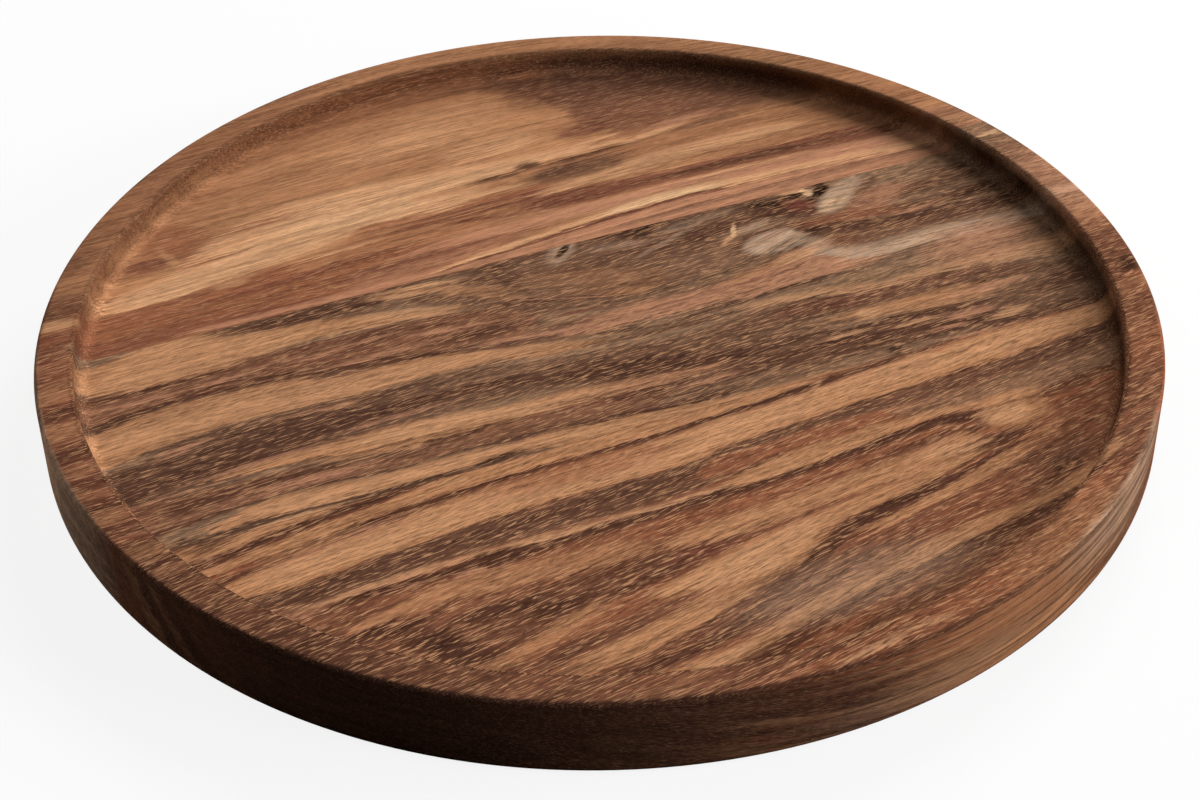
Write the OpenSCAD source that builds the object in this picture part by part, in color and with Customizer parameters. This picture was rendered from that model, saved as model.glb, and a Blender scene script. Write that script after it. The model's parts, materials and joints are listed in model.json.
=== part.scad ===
// Round serving board for a pizza: three hardwood staves, edge-glued side by side and then turned
// as one blank, with a flat rim round a shallow recess.
// Millimetres. The origin is the centre of the underside, +Z is up, and the grain and the glue
// lines run along X.

/* [Board] */
// Diameter over the outer wall
board_d = 356; // [240:1:450]
// Thickness from the underside to the top of the rim
board_h = 26; // [18:0.5:40]
// Width of the middle stave, between the two glue lines
middle_stave_w = 100; // [60:1:140]
// Thickness of the dried glue between two staves
glue_t = 0.2; // [0.1:0.05:0.5]

/* [Rim and recess] */
// Width of the rim, from the outer wall to the recess wall
rim_w = 12; // [8:0.5:30]
// Depth of the recess floor below the top of the rim
recess_depth = 9; // [7:0.5:12]
// Radius of the cove where the recess floor turns up into its wall
cove_r = 4.5; // [1:0.5:5]

/* [Rounded edges] */
// Rounding of the rim's outer edge
outer_edge_r = 1.5; // [0.3:0.1:3]
// Rounding of the rim's inner edge
inner_edge_r = 1.5; // [0.3:0.1:1.9]
// Rounding of the foot, where the outer wall meets the underside
foot_r = 2.5; // [0.5:0.5:6]

/* [Hidden] */
$fn = 180;

// How far a cutting shape runs past what it cuts
overrun = 1;

board_r = board_d / 2;
recess_r = board_r - rim_w;
floor_z = board_h - recess_depth;
// Distance from the centre line to each side of a glue line
glue_inside = middle_stave_w / 2;
glue_outside = glue_inside + glue_t;

// What a rounding of radius r takes off a square corner that points to +X and +Y.
// The origin is the centre of the rounding.
module corner_waste(r) {
    difference() {
        square([r, r]);
        circle(r);
    }
}

// Half section of the recess, from the centre line out to its wall, open at the top
module recess_section() {
    difference() {
        translate([0, floor_z])
            square([recess_r, recess_depth + overrun]);
        translate([recess_r - cove_r, floor_z + cove_r])
            mirror([0, 1])
                corner_waste(cove_r);
    }
}

// Half section of the whole board, from the centre line out to the outer wall
module board_section() {
    difference() {
        square([board_r, board_h]);
        recess_section();
        translate([recess_r + inner_edge_r, board_h - inner_edge_r])
            mirror([1, 0])
                corner_waste(inner_edge_r);
        translate([board_r - outer_edge_r, board_h - outer_edge_r])
            corner_waste(outer_edge_r);
        translate([board_r - foot_r, foot_r])
            mirror([0, 1])
                corner_waste(foot_r);
    }
}

// The part of the turned board that lies between two planes across the grain
module board_strip(y_low, y_high) {
    intersection() {
        rotate_extrude()
            board_section();
        translate([-board_r - overrun, y_low, -overrun])
            cube([board_d + 2 * overrun, y_high - y_low, board_h + 2 * overrun]);
    }
}

module rear_stave() {
    color("#a5714a")
        board_strip(glue_outside, board_r + overrun);
}

module rear_glue_line() {
    color("#b98a5c")
        board_strip(glue_inside, glue_outside);
}

module middle_stave() {
    color("#7b5640")
        board_strip(-glue_inside, glue_inside);
}

module front_glue_line() {
    color("#b98a5c")
        board_strip(-glue_outside, -glue_inside);
}

module front_stave() {
    color("#8a5f43")
        board_strip(-board_r - overrun, -glue_outside);
}

rear_stave();
rear_glue_line();
middle_stave();
front_glue_line();
front_stave();
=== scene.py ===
"""Looks of a round serving board turned from three edge-glued acacia staves."""

import json
from collections import namedtuple
from math import cos, pi, radians, sin

import bmesh
import bpy
from bpy.props import FloatProperty, FloatVectorProperty, PointerProperty
from mathutils import Matrix, Vector


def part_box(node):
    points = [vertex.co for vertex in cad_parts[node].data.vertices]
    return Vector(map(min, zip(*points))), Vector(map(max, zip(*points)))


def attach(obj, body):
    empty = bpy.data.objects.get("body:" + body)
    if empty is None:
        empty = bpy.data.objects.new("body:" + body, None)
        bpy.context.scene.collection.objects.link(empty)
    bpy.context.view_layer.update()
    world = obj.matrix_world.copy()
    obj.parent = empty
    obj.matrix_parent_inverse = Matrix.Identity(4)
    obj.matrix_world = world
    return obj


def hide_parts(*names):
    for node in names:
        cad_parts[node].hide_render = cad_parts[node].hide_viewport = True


bl_info = {
    "name": "Turned Serving Board",
    "version": (1, 0, 0),
    "blender": (4, 5, 0),
    "location": "3D View > Sidebar > Board",
    "description": "Acacia figure, pores and oiled finish for a three-stave serving board",
    "category": "Object",
}

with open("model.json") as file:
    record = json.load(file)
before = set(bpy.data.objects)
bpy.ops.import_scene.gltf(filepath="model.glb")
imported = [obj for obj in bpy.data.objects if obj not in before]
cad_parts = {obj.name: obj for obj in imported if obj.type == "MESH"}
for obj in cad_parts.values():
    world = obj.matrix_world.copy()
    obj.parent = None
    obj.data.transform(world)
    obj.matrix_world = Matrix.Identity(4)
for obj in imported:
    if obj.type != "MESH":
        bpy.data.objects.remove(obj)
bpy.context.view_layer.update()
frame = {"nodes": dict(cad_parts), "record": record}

MM_PER_M = 1000.0
BOARD_RADIUS_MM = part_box("middle_stave")[1][0] * MM_PER_M
RIM_HEIGHT_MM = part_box("middle_stave")[1][2] * MM_PER_M
RIM_WIDTH_MM = 12.0
EDGE_ROUNDING_MM = 1.5
RECESS_RADIUS_MM = BOARD_RADIUS_MM - RIM_WIDTH_MM
# The height on which the figure was laid out: the recess floor
FIGURE_HEIGHT_MM = frame["record"]["mounts"][1]["pos_m"][2] * MM_PER_M

# Sides of the turned outline, and of each rounding, enough for a smooth edge
TURNED_SIDES = 256
FOOT_STEPS = 8
EDGE_STEPS = 6
COVE_STEPS = 12
SMOOTH_ANGLE = radians(30.0)
# An edge counts as on a ring when its ends lie this near to it
RING_TOLERANCE_M = 0.0001
WELD_DISTANCE_M = 0.000001

# A spot whose half length is more than this is a streak, with torn ends
LONGEST_PATCH_MM = 14.0
# Curves in a material run from 0 to 1, which stands for this many millimetres either way
CURVE_REACH_MM = 180.0
# A band that ends nearer to the middle than this is closed by a short tip
OPEN_END_MM = 145.0
TIP_LENGTH_MM = 9.0
TIP_OVERLAP_MM = 0.7

# Sizes of each pattern along, across and through the grain, in millimetres
SWELL_SIZE = (70.0, 24.0, 24.0)
BROAD_SIZE = (120.0, 9.0, 9.0)
STRAND_SIZE = (75.0, 2.4, 2.4)
THREAD_SIZE = (24.0, 0.62, 0.62)
DASH_SIZE = (4.2, 0.46, 0.46)
FLECK_SIZE = (5.2, 0.36, 0.36)
PORE_SIZE = (3.2, 0.3, 0.3)
RING_SIZE = (110.0, 50.0, 2.4)
GLUE_CLOUD_SIZE = (9.0, 2.0, 2.0)

# Where the tones of a surface fade in, as two distances in millimetres: from the outline for the
# wall, down from the top for the rim, and out from and down to the recess wall for its painted shade
WALL_LAYER_FADE = (3.0, 0.5)
WALL_TONE_FADE = (2.2, 0.6)
RIM_TONE_FADE = (4.0, 1.5)
RECESS_SHADE_OUT_FADE = (0.8, 2.2)
RECESS_SHADE_DOWN_FADE = (8.7, 6.0)
# How much painted shade darkens the recess wall, how much darker the end grain is than the rest, and how much
# calmer the wall
RECESS_WALL_PAINTED_SHADE = 0.42
END_GRAIN_DARKENING = 0.16
END_GRAIN_CALM = 0.6
WALL_CALM = 0.6
# Rise of the growth lines on the wall for each millimetre along the grain
RING_SLOPE = 0.03

# Noise runs from 0 to 1 and mostly lies near a half: where each pattern starts and is full
BROAD_SPAN = (0.38, 0.62)
LINE_SPAN = (0.6, 1.1)
DASH_SPAN = (0.36, 0.64)
FLECK_SPAN = (0.57, 0.64)
PORE_SPAN = (0.57, 0.68)
RING_SPAN = (0.49, 0.56)
# Share of the strands in the fine lines, and of the dashes in the tearing of the edges
STRAND_SHARE = 0.7
DASH_TEAR = 0.5
# How far the calm patches drift with the threads, as a share of the feathering
PATCH_DRIFT = 0.4
# How strongly each pattern shows, at a fibre contrast of 1 for the first two
LINE_STRENGTH = 0.25
DASH_STRENGTH = 0.19
FLECK_STRENGTH = 0.8
PORE_STRENGTH = 0.6
RING_STRENGTH = 0.7
# Pores for each unit of open grain, and where it is closed
PORE_AMOUNT = (0.5, 0.2)
DARKEST_SHADE = 0.3

FLOOR_RADIUS_M = 6.0
# The floor lies just below the foot, so the two faces don't meet
FLOOR_DROP_M = 0.00005
FLOOR_WHITE = 0.86
# Share of its own white that the eye sees of the floor, which leaves the rest to the shadow
FLOOR_GLOW = 0.87
# What light from the lamps finds there, so the floor throws little of it back
FLOOR_BOUNCE = 0.18
# The surround fades from full to dim between these heights on a ball round the scene
CEILING_FADE = (0.42, 0.62)
CEILING_DIM = 0.12

# Each lamp's name, azimuth and elevation in degrees, distance, width and height in metres, and the
# property that holds its power
LAMPS = (
    ("key_softbox", 42.0, 31.0, 3.1, 1.75, 1.5, "key_power"),
    ("side_softbox", -30.0, 20.0, 3.0, 1.7, 0.9, "side_power"),
    ("top_softbox", 150.0, 66.0, 3.0, 3.2, 2.4, "top_power"),
    ("edge_strip", 130.0, 1.0, 3.0, 1.2, 0.06, "edge_power"),
)
SENSOR_WIDTH_MM = 36.0


def power(name, description, watts):
    """A property for the power of a lamp."""
    return FloatProperty(
        name=name, description=description, default=watts, min=0.0, subtype="POWER", unit="POWER"
    )


def angle(name, description, degrees):
    """A property for an angle."""
    return FloatProperty(
        name=name, description=description, default=radians(degrees), subtype="ANGLE", unit="ROTATION"
    )


def length(name, description, metres):
    """A property for a size, shown in the scene's own unit."""
    return FloatProperty(
        name=name,
        description=description,
        default=metres,
        min=0.0001,
        precision=4,
        subtype="DISTANCE",
        unit="LENGTH",
    )


def srgb(code):
    """A display colour such as "C89A66" as the linear values that a shader takes."""
    channels = [int(code[place : place + 2], 16) / 255.0 for place in (0, 2, 4)]
    return [c / 12.92 if c <= 0.04045 else ((c + 0.055) / 1.055) ** 2.4 for c in channels]


def tone(code, name, description):
    """A colour of the wood that a user can change."""
    return FloatVectorProperty(
        name=name, description=description, default=srgb(code), subtype="COLOR", min=0.0, max=1.0
    )


class BoardShape(bpy.types.PropertyGroup):
    """Sizes of the turned board that its outer box doesn't give."""

    rim_width: length("Rim width", "From the outer wall to the recess wall", RIM_WIDTH_MM / MM_PER_M)
    recess_depth: length("Recess depth", "From the top of the rim to the floor", 0.009)
    cove_radius: length("Cove radius", "Where the floor turns up into the recess wall", 0.0045)
    edge_rounding: length("Edge rounding", "Of both edges of the rim", EDGE_ROUNDING_MM / MM_PER_M)
    foot_rounding: length("Foot rounding", "Where the outer wall meets the underside", 0.0025)


class WoodTones(bpy.types.PropertyGroup):
    """The colours that the figure is drawn with."""

    cream: tone("DEB58A", "Cream", "Palest sapwood")
    sap: tone("C8956D", "Sap", "Light tan sapwood")
    honey: tone("AF7C57", "Honey", "Warm tan between sap and heartwood")
    olive: tone("99694A", "Olive tan", "Dull tan of the smooth flat-sawn wood")
    rose: tone("B27D60", "Rose", "Pinkish tan")
    russet: tone("8A553C", "Russet", "Reddish brown")
    maroon: tone("683C30", "Maroon", "Dark red brown")
    chestnut: tone("764D39", "Chestnut", "Plain heartwood")
    walnut: tone("644636", "Walnut", "Cool mid brown")
    umber: tone("482E24", "Umber", "Dark brown streaks")
    soot: tone("221813", "Soot", "Near black of bark pockets and the darkest lines")
    mist: tone("AC8F77", "Mist", "Pale grey wood in and round the knots")
    taupe: tone("84664F", "Taupe", "Grey brown round the knots")


class WoodFinish(bpy.types.PropertyGroup):
    """Grain, pores and oil."""

    lean: FloatProperty(
        name="Grain lean",
        description="How far the figure slides across the board for each unit of depth",
        default=0.25,
    )
    layering: FloatProperty(
        name="Layering of the wall",
        description="How far the figure draws in towards the centre from the top of the wall to its foot",
        default=0.32,
    )
    wander: FloatProperty(
        name="Figure wander", description="Waviness of the figure, in millimetres", default=2.6
    )
    feather: FloatProperty(
        name="Feathered ends",
        description="How far along the grain the end of a streak breaks up, in millimetres",
        default=16.0,
    )
    fray: FloatProperty(
        name="Frayed edges",
        description="How far across the grain the edge of a streak breaks up, in millimetres",
        default=5.0,
    )
    fibre_contrast: FloatProperty(
        name="Fibre contrast", description="Strength of the fine lines", default=1.3, min=0.0, max=3.0
    )
    pore_depth: FloatProperty(
        name="Pore depth",
        description="Depth of the open pores",
        default=0.00012,
        subtype="DISTANCE",
        unit="LENGTH",
    )
    roughness: FloatProperty(
        name="Roughness", description="Roughness of the oiled surface", default=0.5, min=0.0, max=1.0
    )


class StudioSet(bpy.types.PropertyGroup):
    """Camera, lamps and ground."""

    lens: FloatProperty(
        name="Lens", description="Focal length on a 36 mm sensor, in millimetres", default=72.3
    )
    camera_distance: length("Camera distance", "From the centre of the rim", 0.7707)
    camera_height: angle("Camera elevation", "Angle above the rim's plane", 35.577)
    camera_tilt: angle("Camera tilt", "How far below the rim's centre the camera looks", 2.177)
    camera_roll: angle("Camera roll", "Turn of the camera about its own line of sight", 0.949)
    grain_turn: angle("Grain turn", "Angle of the grain to the picture's width", 22.0)
    key_power: power("Key power", "Of the soft lamp behind and to the right", 102.0)
    side_power: power("Side power", "Of the low soft lamp at the right", 100.0)
    top_power: power("Top power", "Of the wide lamp overhead", 16.0)
    edge_power: power("Edge power", "Of the low strip behind and to the left, which lights the wall", 48.0)
    ambient: FloatProperty(
        name="Ambient", description="Light from the room on all sides", default=0.02, min=0.0, max=1.0
    )


# The figure is laid out in millimetres from the centre of the board: along the grain, then across it.
# A band is a tone, a soft edge, a strength and its (along, top, bottom) places.
# A spot is a tone, its middle, its half length and half width, a turn in degrees, a soft edge and a strength.
# A flecked patch is a middle, its half length and half width, a turn, a soft edge and a strength.
# Flow lines that the fibres follow, each as (along, across) in millimetres, from front to rear
REAR_FLOW = (
    ((-170, 50), (-40, 51), (0, 55), (60, 60), (120, 62), (170, 62)),
    ((-150, 70), (-110, 74), (-60, 80), (0, 84), (60, 86), (150, 84)),
    ((-140, 90), (-60, 97), (0, 101), (40, 104), (110, 104)),
    ((-110, 122), (-30, 128), (40, 130), (100, 126)),
    ((-90, 148), (0, 158), (90, 150)),
)
MIDDLE_FLOW = (
    ((-160, -52), (-60, -50), (60, -52), (160, -52)),
    ((-155, -41), (-110, -38), (-40, -41), (0, -44), (60, -46), (165, -46)),
    ((-158, -27), (-112, -25), (-40, -28), (0, -31), (60, -30), (120, -33), (165, -36)),
    ((-160, -12), (-80, -11), (0, -14), (80, -10), (120, -13), (165, -18)),
    ((-165, 0), (-90, 0), (-35, 0), (0, -3), (30, -6), (80, -3), (165, -2)),
    ((-163, 12), (-130, 16), (-85, 11), (-45, 7), (-20, 3), (10, 4), (50, 5), (90, 10), (165, 8)),
    (
        (-160, 27), (-60, 29), (-25, 24), (0, 19), (18, 14), (48, 13), (65, 17), (90, 25),
        (125, 20), (165, 16),
    ),
    ((-160, 40), (-60, 42), (-20, 38), (10, 33), (50, 34), (76, 36), (100, 33), (165, 30)),
    ((-160, 54), (0, 56), (165, 54)),
)
FRONT_FLOW = (
    ((-60, -172), (0, -164), (40, -152), (90, -138), (120, -124)),
    ((-80, -146), (-40, -138), (0, -126), (30, -117), (60, -110), (103, -99), (130, -92)),
    ((-120, -122), (-80, -110), (-40, -100), (0, -95), (60, -91), (130, -84)),
    ((-140, -92), (-100, -87), (-60, -86), (0, -88), (50, -85), (90, -82), (140, -76)),
    ((-145, -79), (-110, -77), (-60, -74), (0, -73), (60, -70), (140, -60)),
    ((-160, -70), (-120, -64), (-90, -60), (-50, -58), (0, -57), (40, -54), (90, -51), (160, -49)),
    ((-160, -58), (-120, -50), (-60, -46), (60, -44), (160, -44)),
)

# Bands of the rear stave, as tone, soft edge, strength and (along, top, bottom)
REAR_BANDS = (
    # Smooth wood towards the far rim
    ("russet", 9.0, 0.45, ((-110, 152, 139), (-60, 162, 148), (0, 170, 154), (60, 166, 150))),
    ("honey", 8.0, 0.35, (
        (-80, 142, 112), (-50, 152, 108), (-20, 152, 108), (10, 152, 106), (36, 140, 110),
    )),
    ("chestnut", 7.0, 0.95, (
        (26, 166, 150), (38, 160, 138), (47, 162, 113), (80, 158, 107), (115, 146, 108),
        (170, 130, 98),
    )),
    ("walnut", 7.0, 0.45, ((50, 160, 112), (80, 152, 112), (110, 142, 108), (150, 120, 100))),
    ("umber", 6.0, 0.4, (
        (30, 158, 138), (60, 152, 136), (90, 144, 126), (120, 130, 114), (150, 112, 98),
    )),
    # The broad bright band, which ends in torn streaks
    ("sap", 3.5, 0.9, (
        (-138, 82, 71), (-120, 87, 73), (-105, 98, 76), (-90, 107, 78), (-75, 111, 80),
        (-60, 113, 83.5), (-45, 113, 84.5), (-30, 112, 86), (-14, 112, 88), (2, 110, 99),
        (20, 109, 102), (36, 107, 103),
    )),
    ("cream", 3.0, 0.15, (
        (-128, 81, 73), (-105, 88, 77), (-88, 97, 80), (-72, 104, 83), (-55, 108, 86),
        (-35, 108, 87.5), (-16, 107, 89), (2, 106, 101), (20, 105, 103),
    )),
    ("honey", 2.0, 0.7, (
        (-22, 99, 96), (-4, 99.5, 94.5), (14, 99, 93), (40, 98, 92), (60, 97, 93),
    )),
    ("sap", 2.0, 0.8, ((-30, 93.6, 89.4), (-10, 93.4, 90), (8, 92.6, 90))),
    # Reddish wood between the bright band and the joint
    ("russet", 2.5, 0.9, (
        (-168, 62, 50), (-147, 70, 50), (-120, 73, 50), (-90, 77, 50), (-60, 80.5, 50),
        (-50, 88.5, 50), (-20, 87.5, 56), (0, 88.5, 62), (15, 88, 68), (30, 80, 72),
    )),
    ("maroon", 3.0, 0.5, ((-160, 58, 50), (-140, 58, 50), (-110, 57, 51), (-80, 55, 52))),
    ("honey", 4.0, 0.5, ((-75, 80, 70), (-50, 87, 71), (-20, 87, 66), (0, 86, 64), (20, 84, 66))),
    ("rose", 1.2, 0.7, ((-122, 53, 51.8), (-90, 53.4, 51), (-60, 54.5, 50.4), (-30, 53.2, 50))),
    ("rose", 3.0, 0.5, ((-60, 62, 54), (-30, 70, 55), (0, 74, 61), (20, 72, 65))),
    ("maroon", 2.0, 0.8, (
        (10, 86, 73), (40, 81, 72.4), (80, 80, 72.4), (110, 80, 71), (140, 76, 68),
    )),
    ("olive", 3.0, 0.9, (
        (24, 100, 80), (60, 103, 83), (90, 103, 82), (125, 101, 80), (150, 88, 78),
    )),
    ("sap", 3.0, 0.75, (
        (16, 86.5, 82), (40, 89, 82), (60, 91.5, 83.5), (90, 93.5, 86), (112, 92, 87),
    )),
    ("rose", 1.5, 0.9, ((14, 71, 66), (40, 71.8, 65), (100, 71.2, 65), (150, 69, 60))),
    # Bright streak that rises from the joint, with a dark line under it
    ("sap", 1.2, 0.95, (
        (-34, 54.2, 53), (-10, 58.5, 56), (5, 60.5, 57.6), (20, 63, 58.8), (35, 65.5, 60),
        (55, 66.4, 61.4), (80, 66, 61.4), (110, 64.5, 60), (150, 62, 56),
    )),
    ("cream", 2.0, 0.7, ((34, 64.6, 61.6), (50, 65.6, 62), (68, 65, 62))),
    ("rose", 1.0, 0.85, (
        (-26, 52.6, 50), (0, 55.4, 50), (30, 58.4, 50), (70, 60.6, 50), (110, 60, 50),
        (165, 56, 50),
    )),
    ("maroon", 0.8, 0.9, (
        (-32, 53.2, 51.8), (-10, 55.6, 54.2), (0, 57, 55.4), (20, 59, 57.2), (40, 60.6, 59),
        (60, 61.4, 60.2), (78, 61.2, 60.6),
    )),
)
REAR_SPOTS = (
    # Light patches in the smooth wood
    ("sap", (-4, 138), (20, 11), 4, 0.6, 0.3),
    ("sap", (8, 119), (15, 5), 4, 0.6, 0.7),
    ("sap", (-24, 134), (22, 6), 4, 0.6, 0.35),
    ("honey", (-92, 118), (24, 7), 14, 0.6, 0.4),
    ("chestnut", (64, 121), (20, 8), 0, 0.5, 0.6),
    ("maroon", (42, 116), (9, 3.5), 0, 0.5, 0.75),
    # Red and dark patches on the left
    ("russet", (-113, 105), (10, 8), 20, 0.5, 0.7),
    ("maroon", (-125, 95), (7, 3), 0, 0.5, 0.8),
    ("sap", (-116.5, 95), (1.4, 7), 12, 0.6, 0.4),
    # Lightest part of the bright band
    ("cream", (-50, 95), (18, 4.0), 2, 0.6, 0.2),
    # Dark streaks and spots round the middle
    ("umber", (2, 98.4), (10, 1.1), 3, 0.5, 0.85),
    ("umber", (15, 102), (4.5, 1.8), 0, 0.5, 0.85),
    ("umber", (36, 100.2), (17, 1.0), 2, 0.5, 0.75),
    ("walnut", (30, 93), (17, 4.6), 0, 0.5, 0.85),
    ("umber", (24, 95), (8, 1.3), 4, 0.5, 0.6),
    # Wavy light streaks
    ("sap", (40, 107.8), (11, 1.2), 8, 0.5, 0.8),
    ("sap", (41, 103.6), (12, 1.2), 8, 0.5, 0.8),
    ("sap", (64, 104.6), (12, 1.3), 9, 0.5, 0.8),
    ("rose", (78, 109), (12, 1.6), 6, 0.6, 0.7),
    ("walnut", (86, 104), (14, 1.4), 4, 0.6, 0.6),
    # Fine lines in the pinkish wood
    ("russet", (-84, 103), (15, 0.7), 3, 0.5, 0.8),
    ("russet", (-84, 105.8), (13, 0.6), 3, 0.5, 0.8),
    ("russet", (-105, 90), (11, 0.7), 3, 0.5, 0.8),
    # Brown streaks in the reddish wood
    ("maroon", (-18, 85), (34, 1.2), 1, 0.5, 0.8),
    ("maroon", (-22, 80.8), (28, 1.0), 1, 0.5, 0.75),
    ("maroon", (-12, 76.6), (11, 1.1), -6, 0.5, 0.7),
    ("maroon", (-80, 69), (32, 1.6), 4, 0.6, 0.6),
    ("maroon", (-40, 62), (26, 1.2), 4, 0.6, 0.6),
    ("sap", (-65, 77.6), (16, 0.7), 3, 0.5, 0.75),
    ("sap", (-101, 73.6), (5, 1.2), 3, 0.6, 0.7),
    ("rose", (-4, 67), (20, 1.6), 2, 0.6, 0.6),
    ("sap", (87, 71.6), (22, 0.6), 0, 0.5, 0.7),
    ("umber", (84, 76), (34, 1.4), 0, 0.6, 0.6),
    ("sap", (75, 88), (11, 0.5), 2, 0.5, 0.6),
    ("walnut", (120, 56), (30, 1.4), 0, 0.6, 0.5),
    ("walnut", (60, 55), (36, 1.0), 3, 0.6, 0.55),
    ("chestnut", (-102, 118), (44, 18), 14, 0.7, 0.25),
)
REAR_RIM = (
    ("olive", (-100, 140), (50, 20), 40, 0.4, 0.7),
    ("chestnut", (-104, 138), (46, 18), 44, 0.6, 0.4),
    ("umber", (-147, 96), (8, 4), 40, 0.5, 0.5),
    ("umber", (-158, 71), (8, 5), 40, 0.5, 0.8),
    ("sap", (-162, 62.5), (8, 2.4), 0, 0.5, 0.8),
    ("honey", (50, 166), (60, 14), -16, 0.5, 0.75),
    ("olive", (142, 98), (20, 26), -50, 0.5, 0.75),
    ("chestnut", (20, 168), (90, 22), 0, 0.4, 0.36),
    ("honey", (115, 126), (20, 14), -50, 0.4, 0.5),
    ("chestnut", (161, 60), (8, 8), 0, 0.5, 0.6),
    ("chestnut", (-150, 84), (14, 20), -30, 0.5, 0.35),
    ("chestnut", (-110, 131), (14, 12), 0, 0.5, 0.25),
)
REAR_FLECKS = (
    ((-90, 64), (70, 12), 2, 0.5, 0.6),
    ((90, 60), (80, 12), 0, 0.5, 0.5),
)

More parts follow.
